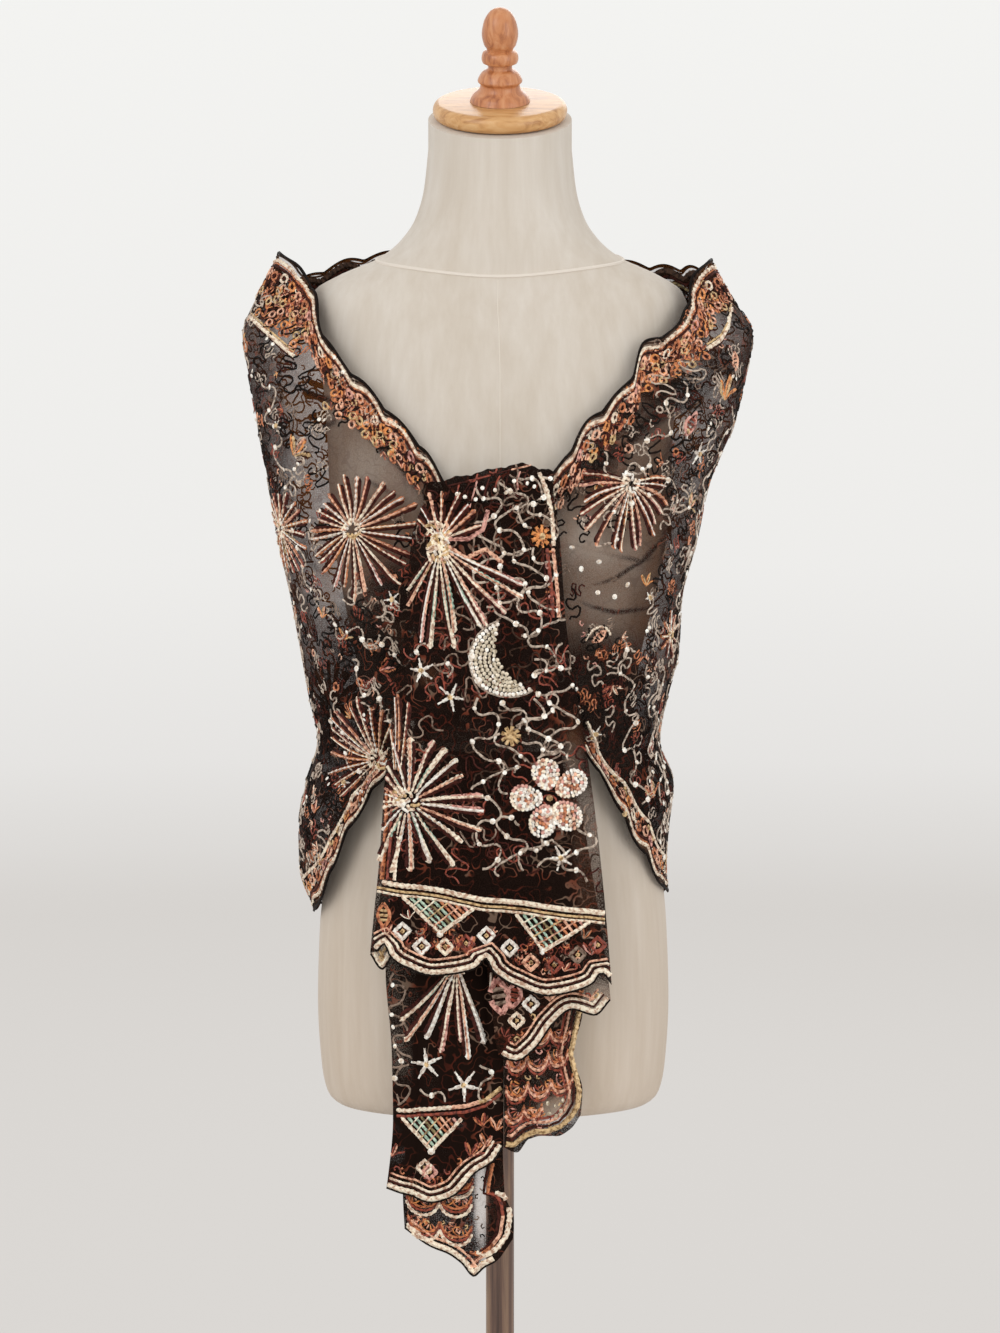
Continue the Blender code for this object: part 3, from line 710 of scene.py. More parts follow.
def height_share(tree, low, high):
    """How far up between two heights a point lies, from 0 to 1."""
    split = add_node(tree, "ShaderNodeSeparateXYZ")
    tree.links.new(object_coordinates(tree), split.inputs["Vector"])
    return remap(tree, split.outputs["Z"], low, high)


def colour_ramp(tree, source, *stops):
    """A ramp through stops, each a place and a colour or its code."""
    ramp = add_node(tree, "ShaderNodeValToRGB")
    stops = [(place, srgb(colour) if isinstance(colour, str) else colour) for place, colour in stops]
    ramp.color_ramp.elements[0].position, ramp.color_ramp.elements[0].color = stops[0]
    ramp.color_ramp.elements[1].position, ramp.color_ramp.elements[1].color = stops[-1]
    for place, colour in stops[1:-1]:
        ramp.color_ramp.elements.new(place).color = colour
    tree.links.new(source, ramp.inputs["Fac"])
    return ramp.outputs["Color"]


def add_bump(tree, shader, height, strength, distance):
    node = add_node(tree, "ShaderNodeBump", Strength=strength, Distance=distance)
    tree.links.new(height, node.inputs["Height"])
    tree.links.new(node.outputs["Normal"], shader.inputs["Normal"])


def combine(tree, operation, first, second, clamp=False):
    """A maths node on two outputs, or on an output and a number."""
    node = add_node(tree, "ShaderNodeMath", {"operation": operation, "use_clamp": clamp})
    for value, socket in zip((first, second), node.inputs):
        if isinstance(value, float):
            socket.default_value = value
        else:
            tree.links.new(value, socket)
    return node.outputs[0]


def remap(tree, source, low, high, to_low=0.0, to_high=1.0):
    node = add_node(tree, "ShaderNodeMapRange", From_Min=low, From_Max=high, To_Min=to_low, To_Max=to_high)
    tree.links.new(source, node.inputs["Value"])
    return node.outputs["Result"]


def mix_colours(tree, factor, first, second, blend="MIX"):
    node = add_node(tree, "ShaderNodeMix", {"data_type": "RGBA", "blend_type": blend})
    if isinstance(factor, float):
        node.inputs["Factor"].default_value = factor
    else:
        tree.links.new(factor, node.inputs["Factor"])
    tree.links.new(first, node.inputs[6])
    tree.links.new(second, node.inputs[7])
    return node.outputs[2]


def thread_material(name, code, dark_code, roughness, metallic):
    """Rayon embroidery thread: its shade varies from stitch to stitch. A dull one has hardly any shine."""
    shine = 0.5 if roughness < 0.5 else 0.1
    made, tree, shader = new_material(name, Roughness=roughness, Metallic=metallic, Specular_IOR_Level=shine)
    noise = noise_at(tree, object_coordinates(tree), Scale=330.0, Detail=3.0)
    colour = colour_ramp(tree, noise, (0.38, dark_code), (0.50, code), (0.62, brighter(code, 1.28)))
    tree.links.new(colour, shader.inputs["Base Color"])
    add_bump(tree, shader, noise, 0.4, 0.0004)
    return made


def net_material():
    """Fine net, almost black where it is dense and brown where it is sheer, under a tracery of thin stitches.
    The mesh's cover attribute says how dense the cloth is."""
    made, tree, shader = new_material("Black net", Roughness=0.85, Specular_IOR_Level=0.03)
    where = object_coordinates(tree)
    cells = add_node(tree, "ShaderNodeTexVoronoi", {"feature": "DISTANCE_TO_EDGE"}, Scale=620.0)
    tree.links.new(where, cells.inputs["Vector"])
    cloud = noise_at(tree, where, Scale=34.0, Detail=1.0)
    route = noise_at(tree, where, Scale=105.0, Detail=0.0, Distortion=0.6)
    cover = add_node(tree, "ShaderNodeAttribute", {"attribute_name": "cover"}).outputs["Fac"]
    mesh = remap(tree, cells.outputs["Distance"], 0.02, 0.16, 1.32, 0.86)
    uneven = remap(tree, cloud, 0.3, 0.7, 0.86, 1.14)
    dense = combine(tree, "MULTIPLY", combine(tree, "MULTIPLY", cover, mesh), uneven, True)
    from_line = combine(tree, "ABSOLUTE", combine(tree, "SUBTRACT", route, 0.5), 0.0)
    stitched = remap(tree, from_line, 0.022, 0.044, 1.0, 0.0)
    stitched = combine(tree, "MULTIPLY", stitched, remap(tree, cover, 0.30, 0.80, 0.38, 0.90))
    tree.links.new(combine(tree, "MAXIMUM", dense, stitched), shader.inputs["Alpha"])
    ground = colour_ramp(tree, cover, (0.30, "70421a"), (0.62, "3c2418"), (0.92, "1a100c"))
    stops = ((0.36, "4a2118"), (0.48, "2b1711"), (0.55, "6b3626"), (0.66, "6e5a4c"))
    stitches = colour_ramp(tree, cloud, *stops)
    tree.links.new(mix_colours(tree, stitched, ground, stitches), shader.inputs["Base Color"])
    return made


def linen_material():
    """Unbleached linen with upright slubs, a fine weave, and a tone that turns slightly darker and warmer
    towards the bottom.
    """
    made, tree, shader = new_material("Linen", Roughness=0.9, Specular_IOR_Level=0.2, Sheen_Weight=0.1)
    slubs = noise_at(tree, object_coordinates(tree, (95.0, 95.0, 7.0)), Scale=1.0, Detail=5.0, Roughness=0.62)
    panels = noise_at(tree, object_coordinates(tree, (16.0, 16.0, 2.2)), Scale=1.0, Detail=2.0)
    body = colour_ramp(tree, height_share(tree, 0.66, 1.15), (0.0, "d3c5b6"), (1.0, "d8d0c6"))
    for source, low, high, code in ((panels, 0.35, 0.65, "f8f6f3"), (slubs, 0.3, 0.7, "f4f1ed")):
        tone = colour_ramp(tree, source, (low, code), (high, "ffffff"))
        body = mix_colours(tree, 1.0, body, tone, "MULTIPLY")
    tree.links.new(body, shader.inputs["Base Color"])
    weave = add_node(tree, "ShaderNodeTexWave", {"bands_direction": "Z"}, Scale=420.0, Distortion=0.6)
    tree.links.new(object_coordinates(tree), weave.inputs["Vector"])
    add_bump(tree, shader, combine(tree, "ADD", weave.outputs["Fac"], slubs), 0.25, 0.0006)
    return made


def wood_material(name, light, middle, dark, stretch, roughness):
    """Turned wood with long grain. stretch squeezes the noise across the grain."""
    made, tree, shader = new_material(name, Coat_Weight=0.25, Coat_Roughness=0.25)
    where = object_coordinates(tree, stretch)
    grain = noise_at(tree, where, Scale=1.0, Detail=6.0, Roughness=0.6, Distortion=0.8)
    colour = colour_ramp(tree, grain, (0.30, dark), (0.5, middle), (0.72, light))
    tree.links.new(colour, shader.inputs["Base Color"])
    worn = remap(tree, grain, 0.0, 1.0, roughness - 0.08, roughness + 0.1)
    tree.links.new(worn, shader.inputs["Roughness"])
    add_bump(tree, shader, grain, 0.12, 0.0006)
    return made


def seam_highlight_material():
    """The form's seams, paler than the linen: their colour is a painted highlight along the seam ridges."""
    made, tree, shader = new_material("Seam", Roughness=0.9)
    noise = noise_at(tree, object_coordinates(tree), Scale=3.0, Detail=3.0)
    colour = colour_ramp(tree, noise, (0.3, SEAM_HIGHLIGHT_CODE), (0.7, brighter(SEAM_HIGHLIGHT_CODE, 1.03)))
    tree.links.new(colour, shader.inputs["Base Color"])
    return made


# The seams' pale colour is a painted highlight along their ridges
SEAM_HIGHLIGHT_CODE = "dfd6cb"
# Each thread's colour, the colour of its shaded stitches, its roughness, and how metallic it is
THREADS = {
    "copper": ("c07850", "6d3520", 0.42, 0.05),
    "orange": ("d88f52", "8a4a26", 0.42, 0.05),
    "rust": ("8f4230", "56231a", 0.48, 0.00),
    "brown": ("43201a", "240f0c", 0.60, 0.00),
    "peach": ("e2b093", "9c604a", 0.44, 0.00),
    "pink": ("d09a8c", "8c564c", 0.46, 0.00),
    "cream": ("efdcc6", "b8937a", 0.46, 0.00),
    "white": ("efe6dc", "c7b8ab", 0.46, 0.00),
    "silver": ("bcab9b", "7e6b5d", 0.42, 0.05),
    "ash": ("8c786a", "58463a", 0.50, 0.00),
    "shade": ("402e24", "251913", 0.60, 0.00),
    "mint": ("b6cdb9", "7c9a86", 0.46, 0.00),
    "gold": ("cdae80", "8a6840", 0.40, 0.05),
    "olive": ("8a7a58", "554a33", 0.50, 0.00),
    "black": ("180f0b", "0b0705", 0.60, 0.00),
    "sequin": ("f3e9dd", "d3bfa8", 0.22, 0.15),
    "pearl": ("d3c6b0", "a8977d", 0.22, 0.20),
}

# ---------------------------------------------------------------------------------------------------------
# Meshes
# ---------------------------------------------------------------------------------------------------------


def link(thing, *materials):
    bpy.context.scene.collection.objects.link(thing)
    for made in materials:
        thing.data.materials.append(made)
    return thing


def grid_faces(rows, columns, closed=False):
    j, i = np.meshgrid(np.arange(rows - 1), np.arange(columns if closed else columns - 1), indexing="ij")
    k = (i + 1) % columns
    quads = np.stack([j * columns + i, j * columns + k, (j + 1) * columns + k, (j + 1) * columns + i], -1)
    return quads.reshape(-1, 4)


def loft(name, rings, caps, *materials):
    """A closed loft through rings of points, first ring at the bottom."""
    rows, columns = len(rings), len(rings[0])
    faces = [tuple(face) for face in grid_faces(rows, columns, True).tolist()]
    if caps:
        faces.append(tuple(range(columns))[::-1])
        faces.append(tuple(range((rows - 1) * columns, rows * columns)))
    mesh = bpy.data.meshes.new(name)
    mesh.from_pydata(np.concatenate(rings).tolist(), [], faces)
    mesh.shade_smooth()
    mesh.set_sharp_from_angle(angle=radians(40))
    return link(bpy.data.objects.new(name, mesh), *materials)


def turned(name, profile, sides, tilt, seat, *materials):
    """A turned piece from a profile of radius and height that runs upwards, tilted forward about its seat."""
    turn = np.linspace(0, 2 * pi, sides, endpoint=False)
    rings = []
    for radius, height in profile:
        radius = max(radius, 0.0002)
        x, y, z = radius * np.cos(turn), radius * np.sin(turn), np.full(sides, height)
        rings.append(
            np.stack([x, y * cos(tilt) - z * sin(tilt), y * sin(tilt) + z * cos(tilt)], -1) + np.array(seat)
        )
    return loft(name, rings, True, *materials)


class Cloth:
    """A stretch of the stole: its grid, its normals, and ways to find a point on it."""

    def __init__(self, name, grid, cover):
        self.name = name
        self.grid = grid
        self.cover = cover
        self.rows, self.columns = grid.shape[:2]
        normal = np.cross(np.gradient(grid, axis=1), np.gradient(grid, axis=0))
        normal /= np.maximum(np.linalg.norm(normal, axis=2, keepdims=True), 1e-9)
        outward = np.sum(normal * grid * np.array([1, 1, 0]), axis=2)
        self.normal = normal * (1.0 if outward.mean() > 0 else -1.0)
        steps = np.linalg.norm(np.diff(grid, axis=0), axis=2)
        self.fall = np.vstack([np.zeros(self.columns), np.cumsum(steps, axis=0)])
        steps = np.linalg.norm(np.diff(grid, axis=1), axis=2)
        self.run = np.hstack([np.zeros((self.rows, 1)), np.cumsum(steps, axis=1)])

    def at(self, u, v):
        """Points and normals at fractions u along and v down."""
        i = np.clip(np.asarray(u) * (self.columns - 1), 0, self.columns - 1.001)
        j = np.clip(np.asarray(v) * (self.rows - 1), 0, self.rows - 1.001)
        i0, j0 = i.astype(int), j.astype(int)
        fi, fj = (i - i0)[:, None], (j - j0)[:, None]
        out = []
        for field in (self.grid, self.normal):
            upper = field[j0, i0] * (1 - fi) + field[j0, i0 + 1] * fi
            lower = field[j0 + 1, i0] * (1 - fi) + field[j0 + 1, i0 + 1] * fi
            out.append(upper * (1 - fj) + lower * fj)
        return out

    def edge(self, low=False):
        """A mapping from metres along the top or the lower edge and metres in from it, and its length."""
        level = -1 if low else 0
        runs = self.run[level]
        total = runs[-1]
        shares = np.linspace(0, 1, len(runs))
        falls = np.linspace(0, 1, self.rows)

        def place(points):
            points = np.asarray(points, float)
            along = np.interp(points[:, 0], runs, shares)
            ok = (points[:, 0] >= 0) & (points[:, 0] <= total)
            index = np.clip((along * (self.columns - 1)).round().astype(int), 0, self.columns - 1)
            down = np.empty(len(points))
            for k, (column, inward) in enumerate(zip(index, points[:, 1])):
                line = self.fall[:, column]
                depth = line[-1] - inward if low else inward
                ok[k] &= 0 <= depth <= line[-1]
                down[k] = np.interp(depth, line, falls)
            found, normal = self.at(along, down)
            return found, normal, ok

        return place, total

    def make(self, material):
        mesh = bpy.data.meshes.new(self.name)
        mesh.from_pydata(self.grid.reshape(-1, 3).tolist(), [], grid_faces(self.rows, self.columns).tolist())
        shade = mesh.attributes.new("cover", "FLOAT", "POINT")
        shade.data.foreach_set("value", self.cover.astype(np.float32).ravel())
        mesh.shade_smooth()
        return link(bpy.data.objects.new(self.name, mesh), material)


class Surface:
    """Several stretches together, found by shooting at them."""

    def __init__(self, *cloths):
        points, faces = [], []
        for cloth in cloths:
            faces += (grid_faces(cloth.rows, cloth.columns) + len(points)).tolist()
            points += cloth.grid.reshape(-1, 3).tolist()
        self.tree = BVHTree.FromPolygons(points, faces)

    def hit(self, origin, direction, reach):
        found, normal, _, _ = self.tree.ray_cast(Vector(origin), Vector(direction), reach)
        if found is None:
            return None
        if normal.dot(Vector(direction)) > 0:
            normal = -normal
        return found, normal

    def shoot(self, shots):
        """Where each shot, an origin, a direction and a reach, lands."""
        found, normals, ok = [], [], []
        for origin, direction, reach in shots:
            got = self.hit(origin, direction, reach)
            ok.append(got is not None)
            spot, facing = got if got else (Vector(origin), -Vector(direction))
            found.append(spot[:])
            normals.append(facing[:])
        return np.array(found), np.array(normals), np.array(ok)

    def patch(self, x, z, tilt=0.0, side=-1.0):
        """A mapping from a flat patch, turned by tilt, whose middle is seen at x and z from the front, or
        from the back with side 1."""
        centre = self.hit((x, side, z), (0, -side, 0), 2.0)
        if centre is None:
            return None
        point, normal = centre
        across = Vector((0, 0, 1)).cross(normal).normalized()
        up = normal.cross(across).normalized()
        turn_x = across * cos(tilt) + up * sin(tilt)
        turn_y = up * cos(tilt) - across * sin(tilt)

        def place(points):
            flat = (point + turn_x * float(a) + turn_y * float(b) for a, b in points)
            return self.shoot((spot + normal * 0.05, -normal, 0.11) for spot in flat)

        return place

    def round(self, points):
        """A mapping from an angle in radians (0 in front, positive to +X) and a height."""
        shots = []
        for angle, z in points:
            out = Vector((sin(angle), -cos(angle), 0))
            shots.append((out * 0.5 + Vector((0, 0, float(z))), -out, 0.5))
        return self.shoot(shots)

    def front(self, points):
        """A mapping from x and z, seen from the front."""
        return self.shoot(((float(x), -1.0, float(z)), (0, 1, 0), 2.0) for x, z in points)


def even(line, step):
    """The line's points again at an even step, and how far along each one is."""
    line = np.asarray(line, float)
    run = np.concatenate([[0.0], np.cumsum(np.hypot(*np.diff(line, axis=0).T))])
    count = max(4, int(run[-1] / step) + 1)
    at = np.linspace(0, run[-1], count)
    return np.stack([np.interp(at, run, line[:, 0]), np.interp(at, run, line[:, 1])], -1), at


class Embroidery:
    """Collects threads and sequins, and makes one mesh of them."""

    STEP = 0.0024

    def __init__(self, name, seed):
        self.name = name
        self.points = []
        self.faces = []
        self.slots = []
        self.count = 0
        self.random = random.Random(seed)
        self.names = list(THREADS)

    def thread(self, place, line, wide, colours, bead=0.0, lift=0.0003, flare=False, deep=0.32):
        """A couched cord along a flat line. Its colours change along it, and bead is a stitch's length."""
        flat, at = even(line, min(self.STEP, bead / 2) if bead else self.STEP)
        beat = 1 - deep + deep * np.abs(np.sin(pi * at / bead)) if bead else np.ones(len(at))
        if flare:
            share = at / at[-1]
            beat = beat * (0.42 + 0.68 * share) * np.minimum(1.0, 0.45 + (1 - share) * at[-1] / 0.004)
        self.sew(place, flat, wide * beat, colours, lift)

    def chain(self, place, line, wide, colour, clear=()):
        """A chain stitch whose line is in the mapping's own units, broken off inside the clear circles."""
        beat = 0.74 + 0.26 * np.abs(np.sin(np.arange(len(line)) * pi / 2 + 0.4))
        self.sew(place, line, wide * beat, (colour,), 0.0004, clear)

    def sew(self, place, line, wide, colours, lift, clear=()):
        """Sews the line wherever it lands on the cloth, one cord for each unbroken stretch."""
        found, normal, ok = place(line)
        for x, z, radius in clear:
            ok = ok & (np.hypot(found[:, 0] - x, found[:, 2] - z) > radius)
        ok = ok.copy()
        gaps = np.linalg.norm(np.diff(found, axis=0), axis=1) > 0.02
        ok[1:][gaps] = False
        colours = (colours,) if isinstance(colours, str) else colours
        ends = [0] + [i for i in range(1, len(ok)) if ok[i] != ok[i - 1]] + [len(ok)]
        for a, b in zip(ends[:-1], ends[1:]):
            if ok[a] and b - a > 2:
                self.cord(found[a:b], normal[a:b], wide[a:b], colours, lift)

    def cord(self, found, normal, wide, colours, lift):
        across = np.cross(np.gradient(found, axis=0), normal)
        across /= np.maximum(np.linalg.norm(across, axis=1, keepdims=True), 1e-9)
        half = (wide / 2)[:, None]
        left = found - across * half + normal * lift
        right = found + across * half + normal * lift
        top = found + normal * (lift + half * 0.9)
        n = len(found)
        faces = grid_faces(n, 3)
        split = np.minimum((np.arange(n - 1) * len(colours)) // (n - 1), len(colours) - 1)
        for k, colour in enumerate(colours):
            rows = np.nonzero(split == k)[0]
            if len(rows):
                self.add_faces(faces[(rows[:, None] * 2 + np.arange(2)).ravel()], colour)
        self.add_faces(np.array([[0, 1, 2, 2], [3 * n - 1, 3 * n - 2, 3 * n - 3, 3 * n - 3]]), colours[0])
        self.add_points(np.stack([left, top, right], 1).reshape(-1, 3))

    def add_faces(self, faces, colour):
        self.faces.append(faces + self.count)
        self.slots.append(np.full(len(faces), self.names.index(colour)))

    def add_points(self, points):
        self.points.append(points)
        self.count += len(points)

    def sequin(self, place, x, y, radius, colour="sequin", tilt=0.3):
        """A faceted disc with a little height."""
        found, normal, ok = place([(x, y)])
        if not ok[0]:
            return
        centre, up = Vector(found[0]), Vector(normal[0])
        side = up.orthogonal().normalized()
        turn = self.random.uniform(0, 2 * pi)
        lean = (side * cos(turn) + up.cross(side) * sin(turn)) * tilt
        facing = (up + lean).normalized()
        a = facing.orthogonal().normalized()
        b = facing.cross(a)
        base = centre + up * 0.0014
        ring = [base + (a * cos(t) + b * sin(t)) * radius for t in (2 * pi * k / 7 for k in range(7))]
        points = [p[:] for p in ring] + [(base + facing * radius * 0.35)[:], (base - facing * 0.0004)[:]]
        faces = [[k, (k + 1) % 7, 7, 7] for k in range(7)] + [[(k + 1) % 7, k, 8, 8] for k in range(7)]
        self.add_faces(np.array(faces), colour)
        self.add_points(np.array(points))

    def make(self, materials):
        points, faces, slots = (np.concatenate(part) for part in (self.points, self.faces, self.slots))
        used = sorted(set(slots.tolist()))
        listed = [tuple(face[:3]) if face[2] == face[3] else tuple(face) for face in faces.tolist()]
        mesh = bpy.data.meshes.new(self.name)
        mesh.from_pydata(points.tolist(), [], listed)
        mesh.polygons.foreach_set("material_index", [used.index(slot) for slot in slots.tolist()])
        mesh.update()
        piece = link(bpy.data.objects.new(self.name, mesh), *(materials[self.names[slot]] for slot in used))
        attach(piece, "root")
        return piece


# ---------------------------------------------------------------------------------------------------------
# Motifs, each in its own flat metres
# ---------------------------------------------------------------------------------------------------------


def arc(x, y, radius, start, end, count=14):
    """Points on an arc from start to end, in degrees."""
    t = np.radians(np.linspace(start, end, count))
    return np.stack([x + radius * np.cos(t), y + radius * np.sin(t)], -1)


def polar(radius, angle, x=0.0, y=0.0):
    """The point at a distance and an angle from x and y."""
    return x + radius * cos(angle), y + radius * sin(angle)


def any_turn(rnd):
    return rnd.uniform(0, 6.28)


def knot(sewing, place, radius, colours, strands=7):
    """The loose knotted middle of a burst."""
    rnd = sewing.random
    for k in range(strands):
        a = 2 * pi * k / strands
        b = a + rnd.uniform(0.6, 1.6)
        near, far = radius * rnd.uniform(0.2, 0.5), radius * rnd.uniform(0.7, 1.1)
        line = [polar(near, a), polar(0.8 * far, a + 0.4), polar(far, b)]
        sewing.thread(place, line, 0.0030, rnd.choice(colours), bead=0.003, lift=0.0012)


def burst(
    sewing, place, radius, rays, palette, start=0, sweep=360, inner=0.13, wide=0.0048,
    longer=0, way=0, droop=0,
):
    """A starburst of couched rays, each with a bright strand on top and a dark cord of painted shade
    beside it. longer stretches the rays that point way, and droop bends the others towards it."""
    rnd = sewing.random
    beside = 0.0021
    for k in range(rays):
        angle = radians(start + sweep * (k + 0.5 + rnd.uniform(-0.16, 0.16)) / rays)
        reach = radius * rnd.uniform(0.84, 1.04) * (1 + longer * cos(angle - radians(way)))
        bend = rnd.uniform(-0.08, 0.08) + droop * sin(radians(way) - angle)
        line = [polar(reach * t, angle + bend * t * t) for t in np.linspace(inner, 1.0, 7)]
        # Painted shade: a dark brown cord laid beside each ray, a little inside it
        shadow = [(x * 0.96 + beside * sin(angle), y * 0.96 - beside * cos(angle)) for x, y in line]
        sewing.thread(place, shadow, wide * 0.72, "brown", lift=0.0001, flare=True)
        colours = rnd.choice(palette)
        thick = wide * rnd.uniform(0.72, 1.08)
        sewing.thread(place, line, thick, colours, bead=0.0050, flare=True, deep=0.42)
        strand = ("cream", "peach", "white", "cream")[k % 4]
        sewing.thread(place, line, thick * 0.40, strand, bead=0.0050, lift=0.0005 + thick * 0.26, deep=0.85)
    knot(sewing, place, min(0.010, radius * 0.24), ("cream", "gold", "cream", "white"))


def star(sewing, place, radius, turn=0.3, wide=0.0032):
    """Five tapered arms, each a short thick thread on a long thin one, and a sequin."""
    for k in range(5):
        a = turn + 2 * pi * k / 5
        for reach, thick in ((0.62 * radius, wide), (radius, wide * 0.55)):
            sewing.thread(place, [(0, 0), polar(reach, a)], thick, "white", bead=0.003)
    sewing.sequin(place, 0, 0, 0.0026, "gold")


def ring(sewing, place, x, y, radius, colour):
    """A little eyelet: a thick ring and a dark middle."""
    sewing.thread(place, arc(x, y, radius, 0, 360, 12), radius * 0.75, colour, bead=0.0032)
    sewing.thread(place, arc(x, y, radius * 0.30, 0, 360, 7), radius * 0.50, "brown")


def diamond(sewing, place, x, y, size, colour):
    """A corded diamond round a small gold ring."""
    line = [(x - size, y), (x, y + size), (x + size, y), (x, y - size), (x - size, y)]
    line.append((x - size * 0.8, y + size * 0.2))
    sewing.thread(place, line, 0.0036, colour, bead=0.0036)
    sewing.thread(place, arc(x, y, size * 0.25, 0, 360, 6), 0.0018, "gold")


def scroll(sewing, place, x, y, size, turn, colour):
    """A curled leaf, as a closing spiral."""
    t = np.linspace(0, 1, 12)
    a = turn + 4.2 * t
    r = size * (1 - 0.78 * t)
    sewing.thread(place, np.stack([x + r * np.cos(a), y + r * np.sin(a)], -1), size * 0.42, colour)


def leaf(sewing, place, x, y, length, turn, colour, fill):
    """An outlined leaf with three cross stitches."""
    ahead, across = np.array([cos(turn), sin(turn)]), np.array([-sin(turn), cos(turn)])
    t = np.linspace(0, 1, 7)[:, None]
    for sign in (1, -1):
        line = np.array([x, y]) + ahead * length * t + across * sign * length * 0.26 * np.sin(pi * t)
        sewing.thread(place, line, length * 0.16, colour)
    for share in (0.3, 0.5, 0.7):
        middle = np.array([x, y]) + ahead * length * share
        reach = across * length * 0.2 * sin(pi * share)
        sewing.thread(place, [middle - reach, middle + reach], length * 0.12, fill)


def flame(sewing, place, size, turn, colours):
    """A small blossom of curved petals."""
    rnd = sewing.random
    for k in range(5):
        a = turn + (k - 2) * 0.42
        bend = 0.5 * (1 if k % 2 else -1)
        reach = size * rnd.uniform(0.75, 1.0)
        line = [(0, 0), polar(0.5 * reach, a), polar(reach, a + bend / 3)]
        sewing.thread(place, line, size * 0.17, colours[k % len(colours)], bead=0.003, flare=True)


def fan(sewing, place, x, y, size, turn, colours, strokes=5, spread=0.9):
    """A shell of short strokes under an arched cord."""
    for k in range(strokes):
        a = turn + spread * (2 * k / (strokes - 1) - 1)
        line = [polar(0.25 * size, a, x, y), polar(0.82 * size, a, x, y)]
        sewing.thread(place, line, size * 0.20, colours[k % len(colours)], flare=True)
    edge = np.degrees(turn)
    rim = arc(x, y, size, edge - 60, edge + 60, 10)
    sewing.thread(place, rim, size * 0.16, colours[0], bead=0.003)


def wander(start, heading, length, seed, loop=0.072, skew=(1.0, 1.0), swing=1.2, phase=None):
    """A wandering line. skew turns metres into the mapping's own units, and lines of one phase run side by
    side."""
    rnd = random.Random(seed)
    one, two, three = any_turn(rnd), any_turn(rnd), rnd.uniform(0.85, 1.2)
    if phase is not None:
        one, three = phase, 1.0
    x = y = 0.0
    step = 0.003
    line = []
    for k in range(int(length / step)):
        run = k * step
        angle = heading + swing * sin(2 * pi * run / loop / three + one)
        angle += 0.40 * sin(2 * pi * run / (loop * 0.38) + two)
        x += step * cos(angle)
        y += step * sin(angle)
        line.append((start[0] + x * skew[0], start[1] + y * skew[1]))
    return line


def vine(sewing, place, line, wide, colour, every=10, clear=()):
    """A chain-stitched vine with a sequin at every few stitches."""
    sewing.chain(place, line, wide, colour, clear)
    for k in range(4, len(line) - 2, every):
        found, _, ok = place([line[k]])
        if ok[0] and all(hypot(found[0][0] - x, found[0][2] - z) > r for x, z, r in clear):
            sewing.sequin(place, *line[k], sewing.random.choice((0.0021, 0.0027)))


def crescent(sewing, place, radius):
    """A crescent moon filled with rows of sequins, open to the right."""
    apart, inner, gap = radius * 0.97, radius * 1.26, 0.0034
    for row in range(7):
        r = radius - gap * row
        steps = int(2 * pi * r / gap)
        for k in range(steps):
            a = 2 * pi * (k + 0.5 * (row % 2)) / steps
            x, y = r * cos(a), r * sin(a)
            if hypot(x - apart, y) > inner:
                colour = "sequin" if row == 0 or (3 * k + row) % 7 == 0 else "pearl"
                sewing.sequin(place, x, y, 0.0019, colour, 0.2)
    tip = acos((radius**2 + apart**2 - inner**2) / (2 * radius * apart))
    edge = arc(0, 0, radius + 0.0022, degrees(tip), 360 - degrees(tip), 34)
    sewing.thread(place, edge, 0.0020, "silver", bead=0.003)
    for turn in (2.6, 3.3):
        sewing.sequin(place, *polar(radius, turn), 0.0036)


def petal_flower(sewing, place, radius):
    """Five petals filled with sequins, with copper ones in their hearts."""
    for k, turn in enumerate((33, 100, 181, 254, 313)):
        a = radians(turn)
        long, broad = radius * (0.39, 0.38, 0.40, 0.41, 0.40)[k], radius * 0.31
        out, side = np.array([cos(a), sin(a)]), np.array([-sin(a), cos(a)])
        middle = out * radius * 0.64
        for row, share in enumerate((1.0, 0.74, 0.48, 0.22)):
            count = max(3, int(2 * pi * share * (long + broad) / 2 / 0.0030))
            for t in np.linspace(0, 2 * pi, count, endpoint=False):
                p, q = share * long * cos(t + row), share * broad * sin(t + row) * (1 + 0.18 * cos(t + row))
                spot = int(1000 * t) + 3 * row + k
                shades = ("white", "peach", "cream", "white", "sequin", "pink", "cream")
                colour = "copper" if row > 1 and spot % 4 == 1 else shades[spot % 7]
                sewing.sequin(place, *(middle + out * p + side * q), 0.0019, colour, 0.2)
    sewing.sequin(place, 0, 0, 0.003, "gold")


def rosette(sewing, place, radius, colour):
    for k in range(9):
        a = 2 * pi * k / 9
        line = [polar(radius * 0.2, a), polar(radius, a)]
        sewing.thread(place, line, radius * 0.42, colour, bead=0.003)
    sewing.sequin(place, 0, 0, radius * 0.35, "gold")


def triangle(sewing, place, left, right, low):
    """A triangle that points at the hem, hatched in cream, mint and copper, with a beaded edge."""
    left, right, low = (np.array(corner) for corner in (left, right, low))
    hatch = ("cream", "mint", "mint", "olive", "mint", "copper", "peach", "copper", "pink")
    for k, colour in enumerate(hatch):
        t = (k + 0.1) / (len(hatch) + 0.6)
        line = [left + (right - left) * t, low + (right - low) * t]
        sewing.thread(place, line, 0.0036 if k == 0 else 0.0026, colour, bead=0.0042)
    for k, colour in enumerate(("cream", "peach", "gold", "cream", "cream")):
        t = k / 5.5
        line = [right + (left - right) * t, low + (left - low) * t]
        sewing.thread(place, line, 0.0036 if k == 0 else 0.0015, colour, bead=0.0042, lift=0.0010)
    sewing.sequin(place, low[0], low[1], 0.0034)


def offset(line, by):
    """The line moved sideways, to its left."""
    run = np.gradient(line, axis=0)
    run /= np.maximum(np.linalg.norm(run, axis=1, keepdims=True), 1e-9)
    return line + by * np.stack([-run[:, 1], run[:, 0]], -1)


def along(line, share):
    """The point at this share of a line."""
    return line[int(share * (len(line) - 1))]


